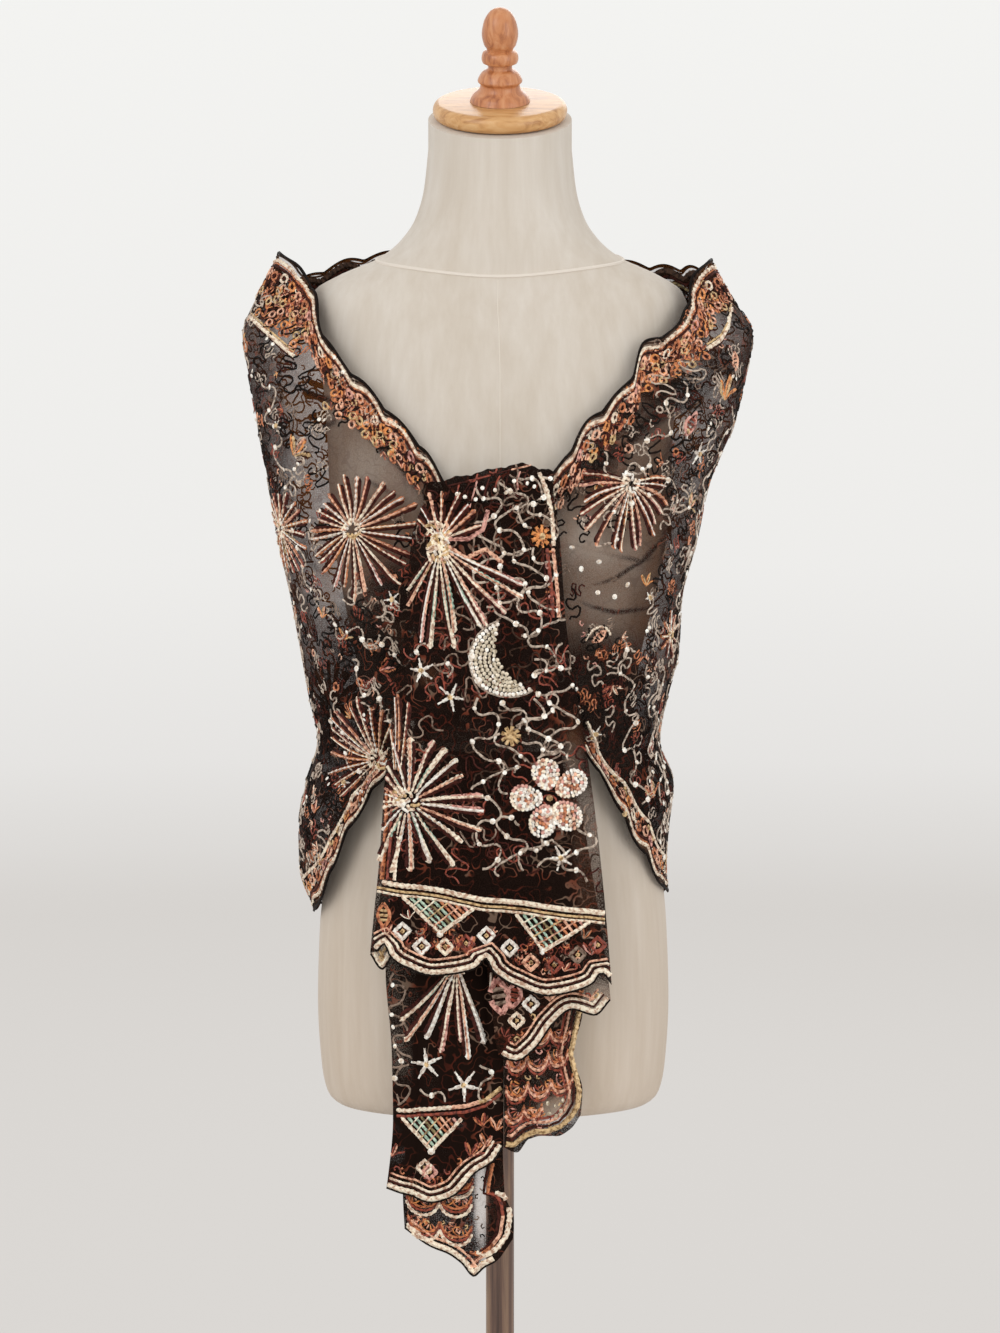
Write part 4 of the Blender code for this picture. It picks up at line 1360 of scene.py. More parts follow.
def side_by_side(sewing, place, line, threads, way=(0, 1), bead=0.0, deep=0.32):
    """Threads along one line, each moved aside: how far, width, and colour."""
    for shift, wide, colour in threads:
        moved = np.array(line) + np.array(way) * shift
        sewing.thread(place, moved, wide, colour, bead=bead, deep=deep)


def add_flames(sewing, place, rows):
    """Blossoms from rows of x, z, size, turn in degrees, and colours."""
    for x, z, size, turn, colours in rows:
        flame(sewing, shifted(place, x, z), size, radians(turn), colours)


HEM_POINTS = 90
# Cords along a hem, and along a long edge: how far in, width, colour, and length of a stitch
HEM_CORDS = (
    (0.0008, 0.0018, "black", 0.0),
    (0.0036, 0.0050, "cream", 0.0050),
    (0.0078, 0.0018, "brown", 0.0),
    (0.0096, 0.0026, "cream", 0.0038),
    (0.0142, 0.0020, "peach", 0.0038),
)
SIDE_CORDS = (
    (0.0010, 0.0028, "black", 0.0),
    (0.0050, 0.0020, "shade", 0.0),
    (0.0095, 0.0038, "cream", 0.0046),
    (0.0122, 0.0016, "copper", 0.0030),
    (0.0144, 0.0024, "brown", 0.0),
)


def hem_curve(stretch, hem, start=0.0, end=1.0):
    """A hem seen from the front, as x and z."""
    u = np.linspace(start, end, HEM_POINTS)
    z = smooth_between(*np.array(hem).T, u)
    left = read_table(stretch, HANG_COLUMNS, "left", z)
    right = read_table(stretch, HANG_COLUMNS, "right", z)
    return np.stack([left + (right - left) * u, z], -1)


def cords(sewing, place, curve, table=HEM_CORDS):
    for inward, wide, colour, bead in table:
        sewing.thread(place, offset(curve, inward), wide, colour, bead=bead)


# The border's eyelets, and its curls: how far past the eyelet, how far in, size, and colours
BORDER_PITCH = 0.0120
BORDER_EYELETS = ("peach", "copper", "cream", "orange", "peach", "copper", "pink")
BORDER_CURLS = (
    (0.005, 0.0250, 0.0044, ("gold", "peach", "copper")),
    (0.006, 0.0170, 0.0026, ("cream", "peach", "rust")),
    (0.000, 0.0310, 0.0048, ("copper", "peach", "orange")),
)
# The cords' reverse on the inside of the cloth: how far in, width, and colour
LINING_CORDS = ((0.0080, 0.0075, "shade"), (0.0135, 0.0040, "brown"), (0.0190, 0.0030, "olive"))


def border(sewing, edge, end=1.0, band=0.042, inner_line=True):
    """The long edge's border: a corded scallop, eyelets, curls, and a straight cream line inside."""
    place, total = edge
    rnd = sewing.random
    last = total * end
    count = max(8, int(last / 0.004))
    s = np.linspace(0, last, count)
    wave = np.abs(np.sin(pi * s / SCALLOP_PITCH))
    for inward, wide, colour, bead in SIDE_CORDS:
        depth = inward - 0.0035 * wave * (inward > 0.003)
        sewing.thread(place, np.stack([s, depth], -1), wide, colour, bead=bead, deep=0.45)
    if inner_line:
        sewing.thread(place, np.stack([s, np.full(count, band)], -1), 0.0034, "cream", bead=0.0040)
    zigzag = np.stack([s, (0.0165 + band - 0.006) / 2 + (band - 0.024) / 2 * np.sin(s * 700)], -1)
    sewing.thread(place, zigzag, 0.0022, "brown", lift=0.0001)
    broad = band > 0.035
    for k in range(int(last / BORDER_PITCH)):
        x = (k + 0.5) * BORDER_PITCH
        ring(sewing, place, x, 0.0185 + 0.0012 * sin(2.1 * k), 0.0037, BORDER_EYELETS[k % 7])
        for beyond, inward, size, colours in BORDER_CURLS[: 3 if broad else 2]:
            scroll(sewing, place, x + beyond, inward, size, any_turn(rnd), rnd.choice(colours))
        if broad and k % 2:
            middle = shifted(place, x + 0.004, 0.0365)
            flame(sewing, middle, 0.008, any_turn(rnd), ("peach", "copper", "rust"))
        elif broad:
            ring(sewing, place, x + 0.003, 0.0365, 0.0034, rnd.choice(("gold", "peach", "copper")))


def lining(sewing, edge):
    """The dark reverse of the border's cords, on the inside of the cloth."""
    place, total = edge
    s = np.linspace(0, total, int(total / 0.004))

    def inside(points):
        found, normal, ok = place(points)
        return found, -normal, ok

    for depth, wide, colour in LINING_CORDS:
        sewing.thread(inside, np.stack([s, depth + 0.0015 * np.sin(s * 150)], -1), wide, colour, bead=0.004)


def scalloped(start, end, count, depth):
    """A line of arcs that hang from start to end, as x and z."""
    t = np.linspace(0, 1, count * 10 + 1)
    start, end = np.array(start), np.array(end)
    line = start + (end - start) * t[:, None]
    line[:, 1] -= depth * np.abs(np.sin(pi * t * count)) ** 0.5
    return line


WARM = (("cream", "peach"), ("peach", "copper"), ("orange", "copper"), ("copper", "rust"), ("peach", "pink"))
ORANGE = (("gold", "copper"), ("orange", "copper"), ("peach", "copper", "rust"), ("peach", "rust"))
COOL = (("cream", "white"), ("mint", "cream"), ("peach", "cream"), ("cream", "pink"), ("white", "cream"))
LONG = (
    ("gold", "cream", "peach"),
    ("cream", "peach", "pink"),
    ("copper", "peach"),
    ("cream", "mint", "cream"),
)

# ---------------------------------------------------------------------------------------------------------
# The dress form and its stand
# ---------------------------------------------------------------------------------------------------------


def torso_ring(z, sides):
    half_width, front, back, power, lean = (float(value) for value in torso_section(z))
    a = np.linspace(0, 2 * pi, sides, endpoint=False)
    c, s = np.cos(a), np.sin(a)
    x = lean + half_width * np.sign(c) * np.abs(c) ** (2 / power)
    y = np.where(s > 0, back, front) * np.sign(s) * np.abs(s) ** (2 / power)
    return np.stack([x, y, np.full(sides, z)], -1)


def form_point(angle, z):
    """A point of the torso's surface at an angle from the front and a height."""
    half_width, front, back, power, lean = (float(value) for value in torso_section(z))
    deep = front if cos(angle) > 0 else back
    reach = ((abs(sin(angle)) / half_width) ** power + (abs(cos(angle)) / deep) ** power) ** (-1 / power)
    return (lean + reach * sin(angle), -reach * cos(angle), z)


def tube(name, centres, radius, material):
    """A closed tube through points on the form."""
    sides = 6
    centres = np.array(centres)
    tangent = np.gradient(centres, axis=0)
    tangent /= np.linalg.norm(tangent, axis=1, keepdims=True)
    side = np.cross(tangent, centres * np.array([1, 1, 0]))
    side /= np.maximum(np.linalg.norm(side, axis=1, keepdims=True), 1e-6)
    up = np.cross(side, tangent)
    turn = np.linspace(0, 2 * pi, sides, endpoint=False)
    rings = []
    for centre, a, b in zip(centres, side, up):
        rings.append(centre + radius * (np.outer(np.cos(turn), a) + np.outer(np.sin(turn), b)))
    return loft(name, rings, True, material)


def build_torso(linen, highlight_on_seams):
    sides = 144
    heights = [0.663, 0.6642, 0.6658, 0.668, 0.671, 0.675, 0.680, 0.687]
    heights += list(np.linspace(0.695, 1.350, 80)) + list(np.linspace(1.356, 1.500, 40))
    rings = [torso_ring(z, sides) for z in heights]
    a = np.linspace(0, 2 * pi, sides, endpoint=False)
    y = TORSO[-1][1] * np.sin(a)
    top = np.stack([TORSO[-1][1] * np.cos(a), y, NECK_TOP_Z + y * tan(NECK_TILT)], -1)
    last = rings[-1]
    rings += [last + (top - last) * t for t in (0.34, 0.67, 0.985)]
    rings.append(top * np.array([0.985, 0.985, 1.0]))
    torso = loft("torso", rings, True, linen)
    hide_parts("form_torso")
    turn = np.linspace(-pi, pi, 160)
    # The seam tubes carry the pale painted highlight
    seams = [
        tube("seam_front", [form_point(0.0, z) for z in np.linspace(0.672, 1.384, 100)], 0.0003, highlight_on_seams),
        tube("seam_back", [form_point(pi, z) for z in np.linspace(0.672, 1.425, 100)], 0.0004, highlight_on_seams),
        tube("seam_neck", [form_point(t, 1.407 - 0.020 * cos(t)) for t in turn], 0.0016, highlight_on_seams),
    ]
    for piece in [torso] + seams:
        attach(piece, "root")


def rounded(radius, height, size):
    """A rounded upper edge from the side to the top, as radius and height."""
    steps = 8
    turn = [pi / 2 * k / steps for k in range(steps + 1)]
    return [(radius - size + size * cos(t), height - size + size * sin(t)) for t in turn]


def build_stand(pale, orange, dark, plate):
    up = np.array([0.0, -sin(NECK_TILT), cos(NECK_TILT)])
    seat = np.array([0.0, 0.0, NECK_TOP_Z]) + up * 0.0003
    half = CAP_THICK / 2
    rim = [(CAP_RADIUS - half * 0.8 * (1 - sin(t)), half - half * cos(t)) for t in np.linspace(0, pi, 15)]
    heights = np.array([row[0] for row in FINIAL])[::-1]
    radii = np.array([row[1] for row in FINIAL])[::-1]
    fine = np.linspace(0, heights[-1], 90)
    finial = [(0, 0)] + list(zip(smooth_between(heights, radii, fine), fine))
    low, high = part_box("form_pole")
    thick = (high[0] - low[0]) / 2
    bottom, top = low[2], high[2]
    pole = [(thick - 0.001, bottom), (thick, bottom + 0.001), (thick, top - 0.001), (thick - 0.001, top)]
    low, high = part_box("form_base")
    wide = (high[0] - low[0]) / 2
    base = [(wide - 0.003, 0.0), (wide - 0.002, 0.0), (wide, 0.002)] + rounded(wide, 0.024, 0.006)
    base += [(0.045, 0.024), (0.036, 0.0245), (0.0325, 0.0270)] + rounded(0.032, high[2], 0.004)
    floor = (0.0, 0.0, 0.0)
    for name, profile, sides, tilt, foot, material, slot in (
        ("neck_cap", [(0, 0)] + rim + [(0, CAP_THICK)], 96, NECK_TILT, seat, pale, "pale_wood"),
        ("finial", finial, 64, NECK_TILT, seat + up * (CAP_THICK + 0.0003), orange, "orange_wood"),
        ("pole", pole, 64, 0.0, floor, dark, "dark_wood"),
        ("base", base, 128, 0.0, floor, plate, "dark_wood"),
    ):
        piece = turned(name, profile, sides, tilt, foot, material)
        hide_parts("form_" + name)
        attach(piece, "root")


# ---------------------------------------------------------------------------------------------------------
# The stole
# ---------------------------------------------------------------------------------------------------------

NODES = {
    "wrap_left": "stole_wrap_left",
    "wrap_right": "stole_wrap_right",
    "back_left": "stole_back_left",
    "back_right": "stole_back_right",
    "tie_fold": "stole_tie_fold",
    "front_panel": "stole_front_panel",
    "front_leaf": "stole_front_leaf",
    "tail": "stole_tail",
    "tail_ruffle": "stole_tail_ruffle",
    "tail_tip": "stole_tail_tip",
}


# The hanging stretches: their tables, steps across and down, and density
HANGING = {
    "front_panel": (PANEL, PANEL_HEM, PANEL_PLEATS, 130, 220, PANEL_COVER),
    "front_leaf": (LEAF, LEAF_HEM, LEAF_PLEATS, 170, 90, 0.88),
    "tail": (TAIL, TAIL_HEM, TAIL_PLEATS, 100, 200, 1.25),
    "tail_ruffle": (RUFFLE, RUFFLE_HEM, RUFFLE_PLEATS, 90, 180, 0.98),
    "tail_tip": (TIP, TIP_HEM, TIP_PLEATS, 110, 90, 1.06),
}


def build_cloths():
    """Every stretch of the stole, with its density: a dark band along the long edges, and sheer scallops."""
    fine = 1.0

    def n(count):
        return int(count * fine)

    made = {}
    for side in ("left", "right"):
        made["wrap_" + side] = wrap_grid(side, n(180), n(220))
        made["back_" + side] = back_grid(side, n(110), n(180))
    made["tie_fold"] = fold_grid(n(90), n(40))
    for name, (stretch, hem, pleats, across, down, cover) in HANGING.items():
        made[name] = hang_grid(stretch, hem, pleats, n(across), n(down), cover)
    cloths = {}
    for name, (grid, cover) in made.items():
        cloth = Cloth(name, grid, patched(grid, cover, PATCHES.get(name, ())))
        if name.startswith(("wrap", "back")):
            inward = np.minimum(cloth.fall, cloth.fall[-1] - cloth.fall)
            band = np.exp(-(((inward - 0.028) / 0.016) ** 4))
            cloth.cover = np.maximum(cloth.cover, 0.90 * band)
            cloth.cover = np.where(inward < 0.009, 0.34, cloth.cover)
        cloths[name] = cloth
    return cloths


def part_of(angle):
    """The body piece at this angle in degrees, 0 in front and positive to +X."""
    angle = (angle + 180) % 360 - 180
    return ("wrap_" if abs(angle) < 90 else "back_") + ("left" if angle < 0 else "right")


# Turns metres along a wandering line into radians round the body
ROUND_SKEW = (1 / 0.18, 1.0)
GROUND_SHADES = ("silver", "rust", "ash", "silver", "copper", "brown")
SCRAP_COLOURS = (("orange", "gold"), ("copper", "peach"), ("rust", "copper"), ("peach", "cream"))


def sew_body(cloths):
    """The wraps and the back: borders along both long edges, bursts and vines over all of it."""
    names = ("wrap_left", "wrap_right", "back_left", "back_right")
    body = Surface(*(cloths[name] for name in names))
    sewn = {name: Embroidery("embroidery_" + name, 11 + k) for k, name in enumerate(names)}
    ground = {name: Embroidery("lattice_" + name, 21 + k) for k, name in enumerate(names)}
    for name in names[:2]:
        border(sewn[name], cloths[name].edge(), inner_line=False)
        border(sewn[name], cloths[name].edge(low=True), end=0.72, band=0.030)
    for name in names[2:]:
        border(sewn[name], cloths[name].edge())
        border(sewn[name], cloths[name].edge(low=True))
        lining(sewn[name], cloths[name].edge())
    for name, line in SHOULDER_LINES:
        side_by_side(sewn[name], body.front, line, SHOULDER_THREADS, bead=0.0040)
    for name, start, end, way in SHOULDER_FILL:
        fill_shoulder(sewn[name], body, start, end, way)
    for name, x, z, radius, rays, palette, start, sweep, longer, way in BURSTS:
        place = body.patch(x, z, side=1.0 if name.startswith("back") else -1.0)
        droop = 0.18 if name == "wrap_right" and sweep < 300 else 0.0
        burst(sewn[name], place, radius, rays, palette, start, sweep, 0.13, 0.0052, longer, way, droop)
    for name, kind, x, z, size, turn, colours in ACCENTS:
        add_accent(sewn[name], body.patch(x, z), kind, size, turn, colours)
    sew_ground(ground, body)
    for k, (angle, z, heading, length) in enumerate(VINES):
        line = wander((radians(angle), z), radians(heading), length, 40 + k, loop=0.060, skew=ROUND_SKEW)
        vine(sewn[part_of(angle)], body.round, line, 0.0021, "silver", every=9)
    return sewn, ground


def add_accent(sewing, place, kind, size, turn, colours):
    if kind == "flame":
        flame(sewing, place, size, radians(turn), colours)
    elif kind == "star":
        star(sewing, place, size, radians(turn))
    elif kind == "leaf":
        leaf(sewing, place, 0, 0, size, radians(turn), colours[0], colours[-1])
    elif kind == "arc":
        sewing.thread(place, arc(0, 0, size, turn, turn + 170), 0.0026, colours[0], bead=0.003)
    else:
        sewing.sequin(place, 0, 0, size)


def in_window(x, z):
    return any(hypot((x - a) / wide, (z - b) / tall) < 1 for a, b, wide, tall in WINDOWS)


def sew_ground(ground, body):
    """Short black and coloured chains all over the wraps and the back, with small things between them."""
    rnd = random.Random(7)
    for row, z in enumerate(np.arange(0.850, 1.392, 0.024)):
        for angle in range(-180 + 4 * (row % 2), 180, 8):
            spot = (radians(angle + rnd.uniform(-3, 3)), z + rnd.uniform(-0.009, 0.009))
            found, _, ok = body.round([spot])
            x, y = found[0][0], found[0][1]
            if not ok[0] or (y < 0 and in_window(x, spot[1])):
                continue
            sewing = ground[part_of(np.degrees(spot[0]))]
            heading = rnd.uniform(-2.4, -0.7)
            line = wander(spot, heading, 0.060, rnd.random(), loop=0.032, skew=ROUND_SKEW, swing=1.7)
            sewing.chain(body.round, line, 0.0020, "black" if rnd.random() < 0.7 else "silver")
            line = wander(spot, heading + 1.3, 0.048, rnd.random(), loop=0.024, skew=ROUND_SKEW, swing=1.9)
            sewing.chain(body.round, line, 0.0016, rnd.choice(GROUND_SHADES))
            if rnd.random() < 0.55:
                place = body.patch(x, spot[1], side=1.0 if y > 0 else -1.0)
                if place:
                    scrap(sewing, place, rnd)


def scrap(sewing, place, rnd):
    """One of the small things scattered between the bursts."""
    kind = rnd.random()
    turn = any_turn(rnd)
    if kind < 0.32:
        colours = rnd.choice(SCRAP_COLOURS)
        flame(sewing, place, rnd.uniform(0.006, 0.011), turn, colours)
    elif kind < 0.55:
        for k in range(3):
            way = turn + 2.1 * k
            colour = rnd.choice(("silver", "ash", "peach", "pink"))
            scroll(sewing, place, *polar(0.005, way), 0.0034, way, colour)
    elif kind < 0.72:
        radius = rnd.uniform(0.0024, 0.0034)
        ring(sewing, place, 0, 0, radius, rnd.choice(("copper", "peach", "ash", "silver")))
    elif kind < 0.80:
        star(sewing, place, rnd.uniform(0.005, 0.008), turn, 0.0022)
    else:
        for _ in range(2):
            sewing.sequin(place, rnd.uniform(-0.008, 0.008), rnd.uniform(-0.008, 0.008), 0.0019)


# The windows of plain net, seen from the front: x, z, half width, half height
WINDOWS = ((-0.112, 1.222, 0.040, 0.038), (0.096, 1.150, 0.042, 0.042), (-0.128, 1.165, 0.030, 0.030))
# The border's inner line over each shoulder, as x and z
SHOULDER_LINES = (
    ("wrap_left", ((-0.2165, 1.3540), (-0.2080, 1.3465), (-0.1930, 1.3335), (-0.1760, 1.3190))),
    ("wrap_right", ((0.201, 1.362), (0.1985, 1.356), (0.1965, 1.345), (0.190, 1.334), (0.177, 1.3255))),
)
# That line's threads: how far up, width, and colour
SHOULDER_THREADS = ((0.0, 0.0042, "cream"), (0.0040, 0.0020, "gold"), (-0.0030, 0.0016, "brown"))
SHOULDER_STEP = 0.0066
# The fill above each line: where its lowest row starts and ends, and the way its rows climb
SHOULDER_FILL = (
    ("wrap_left", (-0.2120, 1.3560), (-0.1760, 1.3260), (0.72, 0.69)),
    ("wrap_left", (-0.1500, 1.2740), (-0.0900, 1.2320), (0.58, 0.81)),
    ("wrap_right", (0.1960, 1.3600), (0.1660, 1.3270), (-0.66, 0.75)),
    ("wrap_right", (0.1780, 1.3160), (0.1120, 1.2800), (-0.48, 0.88)),
)


def fill_shoulder(sewing, body, start, end, way):
    """Copper and orange blossoms and eyelets between the border and its inner line."""
    rnd = sewing.random
    start, end, way = np.array(start), np.array(end), np.array(way)
    count = int(hypot(*(end - start)) / SHOULDER_STEP)
    for row in range(5 if count < 9 else 4):
        climb = way * (0.0035 + SHOULDER_STEP * row)
        for k in range(count):
            x, z = start + (end - start) * (k + 0.5 * (row % 2)) / (count - 0.5) + climb
            place = body.patch(x, z)
            if place is None:
                continue
            if (row + k) % 2:
                colours = ("orange", "copper", "rust") if row < 2 else ("copper", "peach", "rust")
                flame(sewing, place, rnd.uniform(0.0075, 0.0100), rnd.uniform(0.6, 2.4), colours)
            else:
                ring(sewing, place, 0, 0, 0.0030, rnd.choice(("peach", "gold", "copper", "orange")))


# Cloth that lies double or single, seen from the front: x, z, half width, half height, and density
PATCHES = {
    "wrap_left": (
        (-0.195, 1.372, 0.030, 0.024, 0.98),
        (-0.112, 1.058, 0.046, 0.060, 0.93),
        (-0.086, 1.118, 0.030, 0.030, 0.92),
        (-0.132, 0.985, 0.050, 0.060, 0.94),
        (-0.155, 0.905, 0.036, 0.070, 0.92),
        (-0.060, 1.215, 0.022, 0.035, 0.70),
        (-0.205, 1.290, 0.014, 0.060, 0.72),
        (-0.190, 1.215, 0.012, 0.050, 0.74),
        (-0.170, 1.120, 0.012, 0.050, 0.74),
        (-0.150, 1.125, 0.026, 0.016, 0.44),
        (-0.082, 1.192, 0.020, 0.018, 0.36),
    ),
    "wrap_right": (
        (0.088, 1.172, 0.034, 0.026, 0.24),
        (0.148, 1.152, 0.011, 0.032, 0.82),
        (0.139, 1.104, 0.011, 0.026, 0.78),
        (0.085, 1.040, 0.052, 0.045, 0.93),
        (0.112, 0.990, 0.040, 0.055, 0.94),
        (0.135, 0.930, 0.036, 0.070, 0.93),
        (0.062, 1.234, 0.040, 0.024, 0.93),
        (0.150, 1.210, 0.016, 0.040, 0.78),
        (0.150, 1.160, 0.010, 0.040, 0.75),
        (0.160, 1.090, 0.020, 0.070, 0.78),
        (0.190, 1.315, 0.028, 0.014, 0.84),
        (0.145, 1.290, 0.034, 0.014, 0.95),
        (0.182, 1.268, 0.022, 0.018, 0.60),
    ),
    "front_panel": (
        (0.074, 0.905, 0.013, 0.062, 0.64),
        (0.062, 0.990, 0.008, 0.026, 0.55),
        (-0.060, 1.052, 0.008, 0.010, 0.60),
    ),
    "front_leaf": ((0.085, 0.775, 0.016, 0.018, 0.50), (-0.105, 0.815, 0.012, 0.014, 0.60)),
    "tail": ((-0.088, 0.780, 0.018, 0.090, 0.95),),
    "tail_ruffle": ((0.048, 0.680, 0.017, 0.013, 0.22),),
    "tail_tip": ((-0.016, 0.600, 0.0065, 0.042, 0.24), (-0.012, 0.545, 0.006, 0.010, 0.40)),
}

# Bursts on the wraps and the back: x, z, radius, rays, colours, first angle, sweep, and which rays are longer
BURSTS = (
    ("wrap_left", -0.124, 1.172, 0.054, 27, WARM, 0, 360, 0.22, -22),
    ("wrap_left", -0.188, 1.172, 0.040, 20, ORANGE, 0, 360, 0.20, -50),
    ("wrap_left", -0.104, 0.976, 0.052, 14, ORANGE, 60, 185, 0.10, 120),
    ("wrap_right", 0.109, 1.211, 0.045, 16, WARM, -205, 232, 0.35, -98),
    ("wrap_right", 0.146, 1.080, 0.022, 9, WARM, 0, 360, 0.0, 0),
    ("back_left", -0.120, 1.280, 0.055, 24, WARM, 0, 360, 0.1, 0),
    ("back_left", -0.050, 1.100, 0.060, 24, COOL, 0, 360, 0.1, 60),
    ("back_left", -0.150, 1.010, 0.046, 20, ORANGE, 0, 360, 0.0, 0),
    ("back_right", 0.110, 1.190, 0.056, 24, ORANGE, 0, 360, 0.1, 200),
    ("back_right", 0.040, 1.310, 0.048, 20, WARM, 0, 360, 0.0, 0),
    ("back_right", 0.120, 0.960, 0.048, 20, WARM, 0, 360, 0.0, 0),
    ("back_right", 0.020, 0.930, 0.044, 18, ORANGE, 0, 360, 0.0, 0),
)
# Small things with a place of their own on the wraps: x, z, size, turn, and colours
ACCENTS = (
    ("wrap_left", "flame", -0.176, 1.234, 0.022, 60, ("gold", "orange", "peach")),
    ("wrap_left", "flame", -0.152, 1.096, 0.013, 80, ("orange", "peach", "gold")),
    ("wrap_left", "flame", -0.132, 1.078, 0.013, 75, ("gold", "orange", "rust")),
    ("wrap_left", "flame", -0.102, 1.053, 0.017, 20, ("rust", "copper", "pink")),
    ("wrap_left", "arc", -0.111, 1.084, 0.010, 190, ("silver",)),
    ("wrap_left", "arc", -0.104, 1.106, 0.008, 250, ("silver",)),
    ("wrap_left", "flame", -0.161, 0.925, 0.012, 100, ("copper", "peach", "rust")),
    ("wrap_left", "flame", -0.156, 0.880, 0.011, 60, ("gold", "orange")),
    ("wrap_right", "flame", 0.193, 1.282, 0.024, 85, ("orange", "gold", "orange")),
    ("wrap_right", "leaf", 0.203, 1.308, 0.016, 100, ("peach", "peach")),
    ("wrap_right", "leaf", 0.158, 1.252, 0.022, 65, ("pink", "rust")),
    ("wrap_right", "star", 0.170, 1.236, 0.011, 20, ("white",)),
    ("wrap_right", "flame", 0.162, 1.190, 0.015, 40, ("gold", "peach")),
    ("wrap_right", "flame", 0.124, 1.124, 0.013, 85, ("orange", "gold")),
    ("wrap_right", "flame", 0.132, 0.940, 0.018, 110, ("copper", "gold", "peach")),
    ("wrap_right", "arc", 0.084, 1.080, 0.011, 20, ("cream",)),
    ("wrap_right", "leaf", 0.078, 1.078, 0.014, 35, ("peach", "peach")),
    ("wrap_right", "sequin", 0.060, 1.159, 0.0026, 0, ()),
    ("wrap_right", "sequin", 0.068, 1.140, 0.0026, 0, ()),
    ("wrap_right", "sequin", 0.083, 1.146, 0.0024, 0, ()),
    ("wrap_right", "sequin", 0.107, 1.126, 0.0026, 0, ()),
    ("wrap_right", "sequin", 0.096, 1.116, 0.0024, 0, ()),
    ("wrap_right", "sequin", 0.082, 1.120, 0.0022, 0, ()),
)
# Vines on the wraps and the back: degrees round from the front, height, heading, and length
VINES = (
    (-60, 1.10, -20, 0.22),
    (-52, 1.06, -40, 0.22),
    (-64, 1.02, -60, 0.26),
    (-78, 1.30, -80, 0.30),
    (-84, 1.12, -95, 0.30),
    (42, 1.08, -70, 0.24),
    (54, 1.06, -60, 0.30),
    (66, 1.05, -80, 0.28),
    (34, 1.24, -20, 0.20),
    (78, 1.28, -95, 0.30),
    (84, 1.10, -95, 0.30),
    (60, 1.30, -120, 0.26),
    (110, 1.33, -90, 0.34),
    (128, 1.20, -70, 0.34),
    (150, 1.34, -100, 0.34),
    (168, 1.18, -90, 0.34),
    (140, 1.02, -80, 0.28),
    (110, 0.98, -85, 0.22),
    (-115, 1.34, -90, 0.34),
    (-130, 1.18, -110, 0.34),
    (-155, 1.36, -80, 0.34),
    (-170, 1.06, -90, 0.30),
    (-140, 0.98, -70, 0.24),
    (-105, 1.00, -95, 0.26),
)


def sew_panel(cloths):
    """The panel and the fold above it."""
    skin = Surface(cloths["front_panel"], cloths["tie_fold"])
    front = skin.front
    sewing = Embroidery("embroidery_front_panel", 31)
    burst(sewing, skin.patch(-0.050, 1.165), 0.036, 8, WARM, 15, 130, 0.13, 0.0050, 0.25, 60)
    burst(sewing, skin.patch(-0.050, 1.160), 0.074, 11, LONG, 228, 112, 0.12, 0.0058, 0.15, 270)
    for wide, colours, bead, line in PANEL_THREADS:
        sewing.thread(front, line, wide, colours, bead=bead)
    for k, x in enumerate((-0.041, -0.034, -0.025, -0.019, -0.009, 0.000, 0.007, 0.017, 0.023)):
        top = 1.2085 + 0.22 * (x + 0.045)
        tall = 0.018 + 0.007 * sin(2.3 * k)
        line = [(x, top), (x - 0.003, top - tall * 0.5), (x - 0.009 + 0.001 * k, top - tall)]
        sewing.thread(front, line, 0.0017, ("brown", "rust", "brown", "pink")[k % 4], bead=0.003)
        sewing.sequin(front, x + 0.005, top - 0.006 - 0.004 * (k % 3), 0.0019)
    knot(sewing, skin.patch(-0.051, 1.155), 0.010, ("gold", "cream", "cream"), 9)
    knot(sewing, skin.patch(-0.051, 1.172), 0.010, ("gold", "cream", "peach"), 9)
    burst(sewing, skin.patch(-0.077, 0.946), 0.058, 23, COOL, 0, 360, 0.16, 0.0068, 0.12, -40)
    burst(sewing, skin.patch(-0.085, 0.950), 0.088, 4, WARM, 82, 22, inner=0.25, wide=0.0040)
    crescent(sewing, skin.patch(0.0080, 1.0666, tilt=0.445), 0.0305)
    petal_flower(sewing, skin.patch(0.0416, 0.9495), 0.0315)
    rosette(sewing, skin.patch(0.009, 1.001), 0.0085, "gold")
    rosette(sewing, skin.patch(0.034, 1.168), 0.0095, "orange")
    for x, z, radius, turn in PANEL_STARS:
        star(sewing, skin.patch(x, z), radius, radians(turn))
    side_by_side(sewing, front, RIGHT_STRIP, RIGHT_STRIP_THREADS, (1, 0), 0.0046)
    side_by_side(sewing, front, LEFT_STRIP, LEFT_STRIP_THREADS, (1, 0), 0.0042)
    for k in range(6):
        place = skin.patch(0.041 - 0.001 * (k % 2), 1.152 - 0.009 * k)
        scroll(sewing, place, 0, 0, 0.0045, 1.3 * k, ("copper", "pink", "rust")[k % 3])
    for k, (x, z, heading, length, phase) in enumerate(PANEL_VINES):
        line = wander((x, z), radians(heading), length, 163 + k, loop=0.068, swing=1.42, phase=phase)
        line = [point for point in line if point[1] > 0.874 - 0.13 * point[0]]
        vine(sewing, front, line, 0.0022, "silver", every=10, clear=PANEL_CLEAR)
    sew_end(sewing, front)
    return sewing, sew_panel_ground(front)


def sew_panel_ground(front):
    """Dark wandering chains under the panel's motifs."""
    sewing = Embroidery("lattice_front_panel", 32)
    rnd = random.Random(9)
    for z in np.arange(0.90, 1.22, 0.026):
        for x in np.arange(-0.080, 0.075, 0.022):
            start = (x + rnd.uniform(-0.01, 0.01), z + rnd.uniform(-0.01, 0.01))
            colour = rnd.choice(("brown", "rust", "shade", "ash"))
            line = wander(start, any_turn(rnd), 0.07, rnd.random(), loop=0.040, swing=1.6)
            sewing.chain(front, line, 0.0017, colour)
    return sewing


